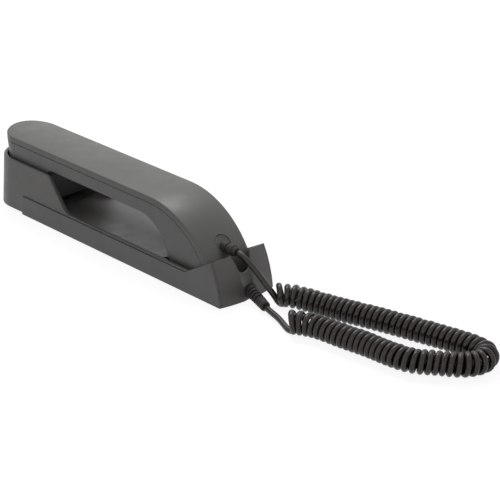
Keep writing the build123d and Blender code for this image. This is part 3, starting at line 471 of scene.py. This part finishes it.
@dataclass(frozen=True)
class WorkedMetal(Finish):
    """Plated, drawn or pressed metal: cool and bright, with the marks of its making."""

    spot_mm: float = 0.8
    stretch: Point = (1.0, 1.0, 1.0)
    spot_depth_mm: float = 0.008
    least_rough: float = 0.24
    most_rough: float = 0.4

    def surface(self, tree: Tree) -> Inputs:
        """Spangle or draw lines in tone, gloss and height.

        Args:
            tree: the material's tree.

        Returns:
            Values and sockets that the shader gets.
        """
        place = add_node(tree, "ShaderNodeTexCoord").outputs["Object"]
        drawn_out = add_node(
            tree, "ShaderNodeMapping", {"Vector": place, "Scale": self.stretch}
        ).outputs["Vector"]
        spots = add_node(
            tree,
            "ShaderNodeTexNoise",
            {"Vector": drawn_out, "Scale": per_metre(self.spot_mm), "Detail": 3.0},
        ).outputs["Fac"]
        share = add_node(tree, "ShaderNodeMapRange", {"Value": spots, **NOISE_SPAN})
        ramp = add_node(tree, "ShaderNodeValToRGB", {"Fac": share.outputs["Result"]})
        rough = {"To Min": self.least_rough, "To Max": self.most_rough}
        return {
            "Base Color": set_stops(ramp, (0.0, self.dark), (1.0, self.pale)),
            "Metallic": 1.0,
            "Roughness": add_node(
                tree, "ShaderNodeMapRange", {"Value": spots, **NOISE_SPAN, **rough}
            ).outputs["Result"],
            "Normal": add_node(
                tree,
                "ShaderNodeBump",
                {"Height": spots, "Distance": self.spot_depth_mm * MM},
            ).outputs["Normal"],
        }


@dataclass(frozen=True)
class GlassEpoxyBoard(Finish):
    """Glass-epoxy laminate under solder mask: green gloss over a faint weave."""

    # Glass cloth has threads of 0.5 mm, drawn at 1 mm so that they show
    thread_mm: float = 1.0
    wander: float = 0.4
    weave_depth_mm: float = 0.01
    gloss_mm: float = 4.0
    least_rough: float = 0.25
    most_rough: float = 0.38

    def surface(self, tree: Tree) -> Inputs:
        """Weave of the glass cloth below a clear mask.

        Args:
            tree: the material's tree.

        Returns:
            Values and sockets that the shader gets.
        """
        place = add_node(tree, "ShaderNodeTexCoord").outputs["Object"]
        # A wave at this scale repeats after about two threads, one over and one under
        scale = per_metre(self.thread_mm * 2 * math.pi)
        weave = add_node(
            tree,
            "ShaderNodeTexWave",
            {"Vector": place, "Scale": scale, "Distortion": self.wander},
        ).outputs["Fac"]
        gloss = add_node(
            tree, "ShaderNodeTexNoise", {"Vector": place, "Scale": per_metre(self.gloss_mm)}
        ).outputs["Fac"]
        ramp = add_node(tree, "ShaderNodeValToRGB", {"Fac": weave})
        rough = {"To Min": self.least_rough, "To Max": self.most_rough}
        return {
            "Base Color": set_stops(ramp, (0.0, self.dark), (1.0, self.pale)),
            "Roughness": add_node(
                tree, "ShaderNodeMapRange", {"Value": gloss, **NOISE_SPAN, **rough}
            ).outputs["Result"],
            "Normal": add_node(
                tree,
                "ShaderNodeBump",
                {"Height": weave, "Distance": self.weave_depth_mm * MM},
            ).outputs["Normal"],
            "Coat Weight": 0.5,
            "IOR": 1.55,
        }


@dataclass(frozen=True)
class ClosedCellFoam(Finish):
    """Closed-cell foam: dull black with small open pits."""

    cell_mm: float = 0.5
    cell_depth_mm: float = 0.08

    def surface(self, tree: Tree) -> Inputs:
        """Cells of about half a millimetre.

        Args:
            tree: the material's tree.

        Returns:
            Values and sockets that the shader gets.
        """
        place = add_node(tree, "ShaderNodeTexCoord").outputs["Object"]
        cells = add_node(
            tree, "ShaderNodeTexVoronoi", {"Vector": place, "Scale": per_metre(self.cell_mm)}
        ).outputs["Distance"]
        ramp = add_node(tree, "ShaderNodeValToRGB", {"Fac": cells})
        return {
            "Base Color": set_stops(ramp, (0.0, self.dark), (0.8, self.pale)),
            "Roughness": 0.92,
            "Normal": add_node(
                tree,
                "ShaderNodeBump",
                {"Height": cells, "Distance": self.cell_depth_mm * MM},
            ).outputs["Normal"],
        }


FINISHES: dict[Slot, Finish] = {
    # The four large mouldings are one dark grey, a shade apart; the third colour of each is its
    # paler edge, painted partly as wear and partly as a highlight
    Slot.HOUSING: MouldedAbs("housing_abs_spark_eroded", "#585755", "#5f5e5c", "#767572"),
    Slot.TRAY: MouldedAbs("tray_abs_spark_eroded", "#555453", "#5c5b5a", "#737270"),
    Slot.COVER: MouldedAbs("cover_abs_satin_moulded", "#585854", "#5d5d58", "#767671"),
    Slot.SHELL: MouldedAbs("shell_abs_satin_moulded", "#5a5958", "#60605e", "#787774"),
    # The cord is a warm near-black and shinier than its rubber fittings
    Slot.CORD: ExtrudedPvc("cord_pvc_extruded", "#1a130f", "#2a2019"),
    Slot.RUBBER: MouldedRubber("cord_rubber_moulded", "#201f1d", "#2e2c2a"),
    Slot.FOOT: MouldedRubber("foot_rubber_moulded", "#2c2c2c", "#383838"),
    Slot.BUTTON: PolishMoulded("button_acetal_moulded", "#1b1b1c", "#272728"),
    Slot.SWITCH: PolishMoulded("switch_nylon_moulded", "#141414", "#1e1e1e"),
    Slot.TERMINAL: PolishMoulded("terminal_nylon_moulded", "#2f6b40", "#3d7d4e"),
    # Zinc has a fine spangle, drawn wire long lines, and a pressed can broad soft patches
    Slot.SCREW: WorkedMetal("screw_steel_zinc_plated", "#a7abb0", "#d2d5d8"),
    Slot.SPRING: WorkedMetal("spring_steel_drawn", "#8f9195", "#b9bbbe", 0.5, (1, 1, 0.2)),
    Slot.CAPSULE: WorkedMetal("capsule_aluminium_pressed", "#b9bbbf", "#d6d8db", 1.4),
    Slot.BOARD: GlassEpoxyBoard("board_glass_epoxy_masked", "#0f4a2a", "#1b6a3c"),
    Slot.FOAM: ClosedCellFoam("gasket_foam_closed_cell", "#161616", "#2f2f2f"),
}


def dress(piece: Piece, slot: Slot) -> None:
    """Give a piece the finish of a slot, and nothing else."""
    piece.data.materials.clear()
    piece.data.materials.append(FINISHES[slot].material())


@dataclass
class CadSolids:
    """Solids of the frame that stay as they are and get a finish and eased edges."""

    slots: dict[str, Slot]
    edge_mm: float = 0.3
    edges_mm: dict[str, float] = field(default_factory=dict)
    edge_angle: float = 32.0
    edge_segments: int = 2
    weld_mm: float = 0.002

    def build(self) -> None:
        """Dress each node, weld its facets and ease its sharp edges."""
        for name, slot in self.slots.items():
            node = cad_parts[name]
            dress(node, slot)
            self.smooth(node)
            log.info("%s: %s", name, slot.value)

    def smooth(self, node: Piece) -> None:
        """Smooth shading with edges eased by a small bevel.

        Args:
            node: the CAD node, whose own mesh keeps its points.
        """
        mesh = node.data
        normals = mesh.attributes.get("custom_normal")
        if normals:
            mesh.attributes.remove(normals)
        mesh.shade_smooth()
        weld = node.modifiers.new("weld_facets", "WELD")
        weld.merge_threshold = self.weld_mm * MM
        ease = node.modifiers.new("ease_edges", "BEVEL")
        ease.limit_method = "ANGLE"
        ease.angle_limit = math.radians(self.edge_angle)
        ease.width = self.edges_mm.get(node.name, self.edge_mm) * MM
        ease.segments = self.edge_segments
        ease.harden_normals = True
        ease.use_clamp_overlap = True


@dataclass
class Cradle(CadSolids):
    """Open cradle that lies on its feet, with the hook parts and the board inside."""

    slots: dict[str, Slot] = field(
        default_factory=lambda: {
            "cradle_housing": Slot.HOUSING,
            "base_tray": Slot.TRAY,
            "rubber_feet": Slot.FOOT,
            "housing_screws": Slot.SCREW,
            "hook_switch": Slot.SWITCH,
            "hook_spring": Slot.SPRING,
            "hook_plunger": Slot.BUTTON,
            "circuit_board": Slot.BOARD,
            "terminal_block": Slot.TERMINAL,
        }
    )
    edges_mm: dict[str, float] = field(
        default_factory=lambda: {"cradle_housing": 0.5, "base_tray": 0.5}
    )


@dataclass
class Handset(CadSolids):
    """Slim handset with its shell, its crowned cover and its inner parts."""

    slots: dict[str, Slot] = field(
        default_factory=lambda: {
            "handset_body": Slot.SHELL,
            "handset_back_cover": Slot.COVER,
            "handset_screws": Slot.SCREW,
            "receiver_gasket": Slot.FOAM,
            "receiver_capsule": Slot.CAPSULE,
            "microphone_capsule": Slot.CAPSULE,
            "microphone_holder": Slot.FOOT,
            "handset_weight": Slot.SCREW,
            "handset_board": Slot.BOARD,
        }
    )


def skin(name: str, rings: list[list[Vector]]) -> Piece:
    """Closed skin over rings of points, with a flat cap at each end.

    Args:
        name: name of the piece.
        rings: corners of each ring in metres, the same number in each.

    Returns:
        The piece, smooth and linked into the scene.
    """
    sides = len(rings[0])
    faces = [
        (
            ring * sides + side,
            ring * sides + (side + 1) % sides,
            (ring + 1) * sides + (side + 1) % sides,
            (ring + 1) * sides + side,
        )
        for ring in range(len(rings) - 1)
        for side in range(sides)
    ]
    last = (len(rings) - 1) * sides
    faces.append(tuple(reversed(range(sides))))
    faces.append(tuple(last + side for side in range(sides)))
    mesh = bpy.data.meshes.new(name)
    mesh.from_pydata([corner for ring in rings for corner in ring], [], faces)
    mesh.shade_smooth()
    piece = bpy.data.objects.new(name, mesh)
    bpy.context.scene.collection.objects.link(piece)
    return piece


def spokes(across: Vector, beside: Vector, sides: int) -> list[Vector]:
    """Unit vectors from a ring's centre to its corners.

    Args:
        across: way to the first corner.
        beside: way a quarter turn further on.
        sides: corners of the ring.

    Returns:
        One vector for each corner, in order.
    """
    angles = [2 * math.pi * side / sides for side in range(sides)]
    return [across * math.cos(angle) + beside * math.sin(angle) for angle in angles]


def tube(name: str, points: list[Vector], diameter: float, sides: int) -> Piece:
    """Closed tube whose rings follow a line without twisting.

    Args:
        name: name of the piece.
        points: ring centres, in metres.
        diameter: outer diameter.
        sides: corners of each ring.

    Returns:
        The tube, linked into the scene.
    """
    ways = [
        (points[min(index + 1, len(points) - 1)] - points[max(index - 1, 0)]).normalized()
        for index in range(len(points))
    ]
    across = ways[0].orthogonal().normalized()
    rings = []
    for index, (centre, way) in enumerate(zip(points, ways)):
        if index:
            across = ways[index - 1].rotation_difference(way) @ across
        across = (across - across.dot(way) * way).normalized()
        outs = spokes(across, way.cross(across), sides)
        rings.append([centre + out * diameter / 2 for out in outs])
    return skin(name, rings)


@dataclass(frozen=True)
class Seat:
    """Plane that the wide rings of a turned form end on instead of passing it."""

    foot: Vector
    up: Vector
    neck_mm: float


def turned(
    name: str, root: Point, way: Point, profile: list[Pair], sides: int, seat: Seat | None = None
) -> Piece:
    """Turned form along a way, closed at both ends.

    Args:
        name: name of the piece.
        root: point on the axis that the profile counts from, in millimetres.
        way: unit vector of the axis.
        profile: distance along the axis and radius of each ring, in millimetres.
        sides: corners of each ring.
        seat: what rings that are wider than its neck end on.

    Returns:
        The piece, linked into the scene.
    """
    start, axis = Vector(root), Vector(way)
    across = axis.orthogonal().normalized()
    rings = []
    for reach, radius in profile:
        ring = []
        for spoke in spokes(across, axis.cross(across), sides):
            out = spoke * radius
            ahead = reach
            if seat and radius > seat.neck_mm:
                ahead = max(reach, (seat.foot - start - out).dot(seat.up) / axis.dot(seat.up))
            ring.append((start + out + axis * ahead) * MM)
        rings.append(ring)
    piece = skin(name, rings)
    piece.data.set_sharp_from_angle(angle=math.radians(SHARP_ANGLE))
    return piece


@dataclass
class CordFittings:
    """Stubby gland in the handset's recess, and the ribbed boot in the cradle's end wall."""

    sides: int = 40
    # Steps and slopes that the turned pieces share
    shoulder_mm: float = 0.2
    draft_mm: float = 0.1
    lip_mm: float = 0.3
    # Dished ring that closes the recess round the gland
    ring_root: Point = (92.2, 0.0, 29.45)
    ring_out: Point = (0.766, 0.0, 0.6428)
    ring_radius_mm: float = 5.45
    ring_bore_mm: float = 2.0
    ring_back_mm: float = 1.6
    ring_face_mm: float = 0.45
    dish_radius_mm: float = 4.5
    dish_depth_mm: float = 0.35
    dish_fall_mm: float = 0.06
    # Gland: sleeve, neck and collar, then the tip that the cord leaves by
    gland_root: Point = (93.3, 0.0, 28.1)
    gland_tip: Point = (104.3, 0.0, 27.4)
    sleeve_radius_mm: float = 3.2
    sleeve_sink_mm: float = 1.0
    sleeve_end_mm: float = 3.2
    neck_radius_mm: float = 2.7
    neck_end_mm: float = 4.2
    collar_radius_mm: float = 3.5
    tip_length_mm: float = 2.8
    # Boot: a tapered sleeve with ribs that starts on its seat in the leaning wall
    boot_root: Point = (114.48, 1.68, 5.2)
    boot_wall: Point = (0.9806, 0.0, 0.1961)
    boot_way: Point = (0.946, -0.3165, -0.0698)
    boot_sink_mm: float = 3.0
    seat_depth_mm: float = 0.85
    boot_bore_mm: float = 2.1
    boot_neck_mm: float = 2.3
    boot_length_mm: float = 20.6
    boot_base_mm: float = 3.8
    boot_end_mm: float = 3.1
    cuff_length_mm: float = 4.4
    cuff_rise_mm: float = 0.15
    cuff_lip_mm: float = 0.35
    cuff_mouth_mm: float = 0.8
    # Gaps between the boot's ribs
    rib_count: int = 4
    first_rib_mm: float = 2.2
    rib_pitch_mm: float = 3.1
    gap_mm: float = 1.3
    gap_ease_mm: float = 0.25
    gap_slope_mm: float = 0.05

    def build(self) -> tuple[Piece, Piece]:
        """Make the gland with its ring, and the boot.

        Returns:
            The gland and the boot.
        """
        gland = self.gland()
        boot = self.boot()
        ring = self.ring()
        for piece, body, slot, node in (
            (gland, Body.HANDSET, Slot.RUBBER, "handset_cord_gland"),
            (ring, Body.HANDSET, Slot.COVER, "handset_cord_gland"),
            (boot, Body.CRADLE, Slot.RUBBER, "cradle_cord_boot"),
        ):
            dress(piece, slot)
            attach(piece, body.value)
            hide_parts(node)
            log.info("%s: %s", piece.name, slot.value)
        return gland, boot

    def gland(self) -> Piece:
        """Sleeve, neck and collar that stand in the ring, and the tip beyond them.

        Returns:
            The gland.
        """
        reach = Vector(self.gland_tip) - Vector(self.gland_root)
        length = reach.length
        tip = length - self.tip_length_mm
        sleeve, neck, collar = self.sleeve_radius_mm, self.neck_radius_mm, self.collar_radius_mm
        step, draft = self.shoulder_mm, self.draft_mm
        profile = [
            (-self.sleeve_sink_mm, sleeve - step),
            (self.sleeve_end_mm, sleeve),
            (self.sleeve_end_mm + step, neck),
            (self.neck_end_mm, neck),
            (self.neck_end_mm + step, collar - step),
            (self.neck_end_mm + 3 * step, collar),
            (tip, collar - draft),
            (tip + 2 * step, neck + draft),
            (length - self.lip_mm - step, neck),
            (length - draft, neck - self.lip_mm),
            (length, neck - 2 * self.lip_mm),
        ]
        way = tuple(reach.normalized())
        return turned("cord_gland", self.gland_root, way, profile, self.sides)

    def ring(self) -> Piece:
        """Dished ring in the recess, of the cover's own plastic, that the gland stands in.

        Returns:
            The ring.
        """
        dish = self.ring_face_mm + self.dish_depth_mm
        profile = [
            (-self.ring_back_mm, self.ring_bore_mm),
            (-self.ring_back_mm, self.ring_radius_mm),
            (-self.ring_face_mm - self.draft_mm, self.ring_radius_mm),
            (-self.ring_face_mm, self.ring_radius_mm - self.shoulder_mm),
            (-dish, self.dish_radius_mm),
            (-dish - self.dish_fall_mm, self.ring_bore_mm),
        ]
        return turned("cord_gland_ring", self.ring_root, self.ring_out, profile, self.sides)

    def boot(self) -> Piece:
        """Tapered sleeve with ribs and gaps, and a plain cuff at its end.

        Returns:
            The boot.
        """
        length, end = self.boot_length_mm, self.boot_end_mm
        cuff = length - self.cuff_length_mm
        profile = [
            (-self.boot_sink_mm, self.boot_bore_mm),
            (-self.boot_sink_mm, self.boot_neck_mm),
            (-self.boot_sink_mm + self.draft_mm, self.boot_base_mm),
        ]
        for rib in range(self.rib_count):
            profile += self.gap(self.first_rib_mm + rib * self.rib_pitch_mm)
        profile += [
            (cuff, self.radius(cuff)),
            (cuff + self.shoulder_mm + self.draft_mm, end + self.cuff_rise_mm),
            (length - self.lip_mm - self.shoulder_mm, end),
            (length - self.draft_mm, end - self.cuff_lip_mm),
            (length, end - self.cuff_mouth_mm),
        ]
        up = Vector(self.boot_wall)
        seat = Seat(Vector(self.boot_root) - self.seat_depth_mm * up, up, self.boot_neck_mm)
        return turned("cord_boot", self.boot_root, self.boot_way, profile, self.sides, seat)

    def radius(self, reach: float) -> float:
        """Outer radius of the boot at a distance from its root."""
        share = reach / self.boot_length_mm
        return self.boot_base_mm + (self.boot_end_mm - self.boot_base_mm) * share

    def gap(self, start: float) -> list[Pair]:
        """Profile of one gap between ribs.

        Args:
            start: where the gap begins along the boot.

        Returns:
            Distance and radius of each of its rings.
        """
        ease, slope = self.gap_ease_mm, self.gap_slope_mm
        outer, floor = self.radius(start), self.boot_neck_mm + self.shoulder_mm
        return [
            (start - ease, outer),
            (start, outer - ease),
            (start + slope, floor),
            (start + self.gap_mm - slope, floor),
            (start + self.gap_mm, outer - ease),
            (start + self.gap_mm + ease, outer),
        ]


def spline_points(name: str, points: list[Point], steps: int) -> list[Vector]:
    """Points along the smooth spline that has a route's points as its control points.

    Args:
        name: name of the curve while it lives.
        points: control points in metres.
        steps: points read for each control point.

    Returns:
        The points of the spline, in order.
    """
    curve = bpy.data.curves.new(name, "CURVE")
    curve.dimensions = "3D"
    curve.resolution_u = steps
    spline = curve.splines.new("NURBS")
    spline.points.add(len(points) - 1)
    for place, point in zip(spline.points, points):
        place.co = (*point, 1.0)
    spline.order_u = 3
    spline.use_endpoint_u = True
    holder = bpy.data.objects.new(name, curve)
    line = bpy.data.meshes.new_from_object(holder)
    read = [vertex.co.copy() for vertex in line.vertices]
    bpy.data.objects.remove(holder)
    bpy.data.curves.remove(curve)
    bpy.data.meshes.remove(line)
    return read


@dataclass
class CurlyCord:
    """Curly cord: a straight stretch off the handset, the curls, and one into the cradle."""

    diameter_mm: float = 3.7
    curl_radius_mm: float = 5.4
    curl_height_mm: float = 7.28
    sides: int = 12
    turn_points: int = 16
    # Points read from a spline for each of its control points
    cord_steps: int = 3
    route_steps: int = 24
    # Points of the route, on either side, that its direction is taken over
    way_span: int = 4
    # Where the curls begin and end, in degrees from the floor up the right side of their way
    start_angle: float = 90.0
    end_angle: float = 337.5
    uneven_share: float = 0.035
    seed: int = 7
    # From the gland's tip down to the first curl
    handset_lead: tuple[Point, ...] = (
        (104.3, 0.0, 27.4),
        (107.8, 0.0, 27.2),
        (113.3, 0.6, 24.1),
        (118.5, 1.9, 19.8),
        (123.4, 3.0, 14.8),
        (128.4, 4.2, 9.6),
        (131.0, 5.0, 6.8),
        (132.6, 6.1, 3.3),
        (135.0, 6.7, 2.0),
        (137.5, 6.0, 3.2),
    )
    # Middle line of the curls on the floor, out, round and back
    coil_route: tuple[Pair, ...] = (
        (132.2, 6.8),
        (135.8, 9.8),
        (142.0, 12.7),
        (149.4, 14.6),
        (161.0, 17.0),
        (178.0, 21.5),
        (199.0, 27.7),
        (221.0, 33.0),
        (243.0, 38.0),
        (253.5, 40.0),
        (262.6, 39.8),
        (268.0, 34.0),
        (267.6, 25.8),
        (262.6, 17.8),
        (253.0, 11.4),
        (241.6, 2.0),
        (227.0, -0.2),
        (212.0, -0.8),
        (196.0, -3.6),
        (181.0, -4.9),
        (171.5, -7.2),
        (162.4, -12.6),
    )
    # From the last curl into the boot's tip
    cradle_lead: tuple[Point, ...] = (
        (161.2, -13.3, 2.0),
        (157.6, -12.0, 2.3),
        (148.4, -8.5, 3.1),
        (138.7, -6.4, 3.45),
        (133.97, -4.84, 3.76),
    )
    # Spacing of the curls at shares of the middle line: pulled open at its ends and its turn
    pitches_mm: tuple[Pair, ...] = (
        (0.0, 4.9),
        (0.05, 4.8),
        (0.08, 4.2),
        (0.12, 3.9),
        (0.44, 3.9),
        (0.5, 4.9),
        (0.56, 4.0),
        (0.88, 3.9),
        (0.94, 4.5),
        (0.97, 4.8),
        (1.0, 4.2),
    )
    # How far the tops of the curls lag and their feet lead, where the free ends pull on them
    lean_mm: tuple[Pair, ...] = (
        (0.0, 0.5),
        (0.06, 0.2),
        (0.09, 0.0),
        (0.94, 0.0),
        (1.0, -1.7),
    )
    # How far their right side leads and their left side lags, where they are turned askew
    skew_mm: tuple[Pair, ...] = (
        (0.0, 2.0),
        (0.05, 1.9),
        (0.1, 1.1),
        (0.16, 0.0),
        (0.95, 0.0),
        (1.0, 2.1),
    )

    def build(self, gland: Piece, boot: Piece) -> None:
        """Make the cord as two tubes that meet at the far end of its loop.

        Args:
            gland: the fitting that the handset's end leaves by; not used.
            boot: the fitting that the cradle's end goes into; not used.
        """
        points = self.line()
        turn = max(range(len(points)), key=lambda index: points[index].x)
        upper = points[:turn + 1]
        lower = list(reversed(points[turn:]))
        handset_side = self.stretch("cord_from_handset", upper)
        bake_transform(handset_side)
        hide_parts("handset_lead", "cord_coil")
        cradle_side = self.stretch("cord_from_cradle", lower)
        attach(cradle_side, Body.CRADLE.value)
        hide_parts("cradle_lead")

    def line(self) -> list[Vector]:
        """Whole middle line of the cord, from the gland to the boot.

        Returns:
            Points in metres, close together.
        """
        route = [(x * MM, y * MM, self.curl_height_mm * MM) for x, y in self.coil_route]
        axis = spline_points("coil_route", route, self.route_steps)
        control = [Vector(point) * MM for point in self.handset_lead]
        control += self.curls(axis)
        control += [Vector(point) * MM for point in self.cradle_lead]
        return spline_points("cord_route", [tuple(point) for point in control], self.cord_steps)

    def along(self, rows: tuple[Pair, ...], share: float) -> float:
        """Value in metres of rows of share and millimetres, at a share of the middle line.

        Args:
            rows: the rows, in order.
            share: from 0 to 1.

        Returns:
            The value between the two rows round the share.
        """
        for (start, first), (stop, last) in zip(rows, rows[1:]):
            if share <= stop:
                return (first + (last - first) * (share - start) / (stop - start)) * MM
        return rows[-1][1] * MM

    def turns(self, length: float) -> list[float]:
        """Distances along the middle line of every control point of the curls.

        Args:
            length: length of the middle line.

        Returns:
            Distances from 0 to the length.
        """
        draw = random.Random(self.seed)
        places = [0.0]
        slack = 1.0
        while places[-1] < length:
            if len(places) % self.turn_points == 1:
                slack = 1 + draw.uniform(-self.uneven_share, self.uneven_share)
            pitch = self.along(self.pitches_mm, places[-1] / length)
            step = pitch * slack / self.turn_points
            places.append(places[-1] + step)
        # The last curl ends at the angle where the cord leaves for the boot
        sweep = (self.end_angle - self.start_angle) / 360 * self.turn_points
        whole = len(places) - 1 - sweep
        count = round(whole / self.turn_points) * self.turn_points + round(sweep)
        while len(places) <= count:
            places.append(places[-1] + step)
        places = places[:count + 1]
        return [place * length / places[-1] for place in places]

    def curls(self, axis: list[Vector]) -> list[Vector]:
        """Control points of the curls round their middle line.

        Args:
            axis: points of the middle line.

        Returns:
            Control points in metres.
        """
        # A quadratic spline cuts inside its control points by this share
        cut = (3 + math.cos(2 * math.pi / self.turn_points)) / 4
        reached = [0.0]
        for first, last in zip(axis, axis[1:]):
            reached.append(reached[-1] + (last - first).length)
        draw = random.Random(self.seed + 1)
        control = []
        segment = 0
        swell = 1.0
        for index, place in enumerate(self.turns(reached[-1])):
            while segment < len(axis) - 2 and reached[segment + 1] < place:
                segment += 1
            share = (place - reached[segment]) / (reached[segment + 1] - reached[segment])
            centre = axis[segment].lerp(axis[segment + 1], share)
            before = axis[max(segment - self.way_span, 0)]
            after = axis[min(segment + self.way_span + 1, len(axis) - 1)]
            way = (after - before).normalized()
            right = Vector((way.y, -way.x, 0))
            if index % self.turn_points == 0:
                swell = 1 - draw.uniform(0, self.uneven_share)
            angle = math.radians(self.start_angle) + 2 * math.pi * index / self.turn_points
            radius = self.curl_radius_mm * MM / cut * swell
            out = Vector((0, 0, -math.cos(angle))) + right * math.sin(angle)
            # A smaller curl still lies on the floor
            sink = Vector((0, 0, (swell - 1) * self.curl_radius_mm * MM))
            lean = self.along(self.lean_mm, place / reached[-1]) * math.cos(angle)
            skew = self.along(self.skew_mm, place / reached[-1]) * math.sin(angle)
            control.append(centre + sink + way * (lean + skew) + out * radius)
        return control

    def stretch(self, name: str, points: list[Vector]) -> Piece:
        """Tube along a stretch of the cord, with its finish.

        Args:
            name: name of the piece.
            points: its ring centres, in metres.

        Returns:
            The tube.
        """
        made = tube(name, points, self.diameter_mm * MM, self.sides)
        dress(made, Slot.CORD)
        return made


@dataclass(frozen=True)
class Softbox:
    """Soft rectangular lamp that looks at a point."""

    name: str
    place: Point
    target: Point
    size: Pair
    power: float

    def build(self) -> None:
        """Hang the lamp and aim it."""
        lamp = bpy.data.lights.new(self.name, "AREA")
        lamp.shape = "RECTANGLE"
        lamp.size, lamp.size_y = self.size
        lamp.energy = self.power
        holder = bpy.data.objects.new(self.name, lamp)
        holder.location = self.place
        aim = Vector(self.target) - Vector(self.place)
        holder.rotation_euler = aim.to_track_quat("-Z", "Y").to_euler()
        bpy.context.scene.collection.objects.link(holder)


@dataclass
class Studio:
    """White floor, soft plain light and the photograph's camera."""

    # The camera's place and axes, which bring the object where the photograph shows it
    place: Point = (0.8008, -0.6486, 0.4655)
    right: Point = (0.6873918, 0.7262868, 0.0)
    up: Point = (-0.3028232, 0.2866061, 0.9089307)
    back: Point = (0.6601444, -0.6247915, 0.4169472)
    lens: float = 127.59
    sensor: float = 36.0
    nearest: float = 0.05
    furthest: float = 20.0
    floor_size: float = 3.0
    floor_colour: str = "#8c8c8c"
    floor_glow: float = 0.88
    world_fill: float = 0.33
    softboxes: tuple[Softbox, ...] = (
        Softbox("overhead_softbox", (-0.35, 0.3, 0.88), (0.0, 0.0, 0.0), (0.6, 0.45), 4.1),
        Softbox("side_softbox", (0.55, -1.0, 0.42), (0.0, 0.0, 0.02), (0.9, 0.5), 1.0),
    )

    def build(self) -> None:
        """Set up the camera, the floor, the lights and the colour handling."""
        bpy.context.scene.view_settings.view_transform = "Standard"
        self.camera()
        self.floor()
        self.world()
        for softbox in self.softboxes:
            softbox.build()

    def camera(self) -> None:
        """Camera at the photograph's place."""
        lens = bpy.data.cameras.new("photo_camera")
        lens.lens = self.lens
        lens.sensor_width = self.sensor
        lens.clip_start = self.nearest
        lens.clip_end = self.furthest
        camera = bpy.data.objects.new("photo_camera", lens)
        axes = Matrix((self.right, self.up, self.back)).transposed().to_4x4()
        camera.matrix_world = Matrix.Translation(self.place) @ axes
        bpy.context.scene.collection.objects.link(camera)
        bpy.context.scene.camera = camera

    def seen_share(self, tree: Tree) -> Socket:
        """One for rays that show the background itself, else zero.

        Args:
            tree: the tree that gets the nodes.

        Returns:
            The share's socket.
        """
        path = add_node(tree, "ShaderNodeLightPath").outputs
        direct = add_node(
            tree,
            "ShaderNodeMath",
            {0: path["Is Camera Ray"], 1: path["Is Glossy Ray"]},
            operation="MAXIMUM",
        ).outputs["Value"]
        return add_node(
            tree,
            "ShaderNodeMath",
            {0: direct, 1: path["Is Transmission Ray"]},
            operation="MAXIMUM",
        ).outputs["Value"]

    def floor(self) -> None:
        """Pale floor whose colour shows as white and which keeps the soft shadow."""
        half = self.floor_size / 2
        mesh = bpy.data.meshes.new("floor")
        corners = [(-half, -half, 0), (half, -half, 0), (half, half, 0), (-half, half, 0)]
        mesh.from_pydata(corners, [], [(0, 1, 2, 3)])
        floor = bpy.data.objects.new("floor", mesh)
        bpy.context.scene.collection.objects.link(floor)
        material = bpy.data.materials.new("floor_paper")
        material.use_nodes = True
        tree = material.node_tree
        tree.nodes.clear()
        paper = add_node(tree, "ShaderNodeBsdfDiffuse", {"Color": linear(self.floor_colour)})
        strength = add_node(
            tree,
            "ShaderNodeMath",
            {0: self.seen_share(tree), 1: self.floor_glow},
            operation="MULTIPLY",
        ).outputs["Value"]
        glow = add_node(
            tree, "ShaderNodeEmission", {"Color": linear(WHITE), "Strength": strength}
        )
        both = add_node(
            tree,
            "ShaderNodeAddShader",
            {0: paper.outputs["BSDF"], 1: glow.outputs["Emission"]},
        )
        add_node(tree, "ShaderNodeOutputMaterial", {"Surface": both.outputs["Shader"]})
        mesh.materials.append(material)

    def world(self) -> None:
        """Even fill light, seen as white."""
        world = bpy.data.worlds.new("white_room")
        bpy.context.scene.world = world
        world.use_nodes = True
        tree = world.node_tree
        tree.nodes.clear()
        strength = add_node(
            tree,
            "ShaderNodeMapRange",
            {"Value": self.seen_share(tree), "To Min": self.world_fill, "To Max": 1.0},
        ).outputs["Result"]
        sky = add_node(
            tree, "ShaderNodeBackground", {"Color": linear(WHITE), "Strength": strength}
        )
        add_node(tree, "ShaderNodeOutputWorld", {"Surface": sky.outputs["Background"]})


def main() -> None:
    """Build the studio, the cord and the solids."""
    Studio().build()
    CurlyCord().build(*CordFittings().build())
    Cradle().build()
    Handset().build()


if __name__ == "__main__":
    main()
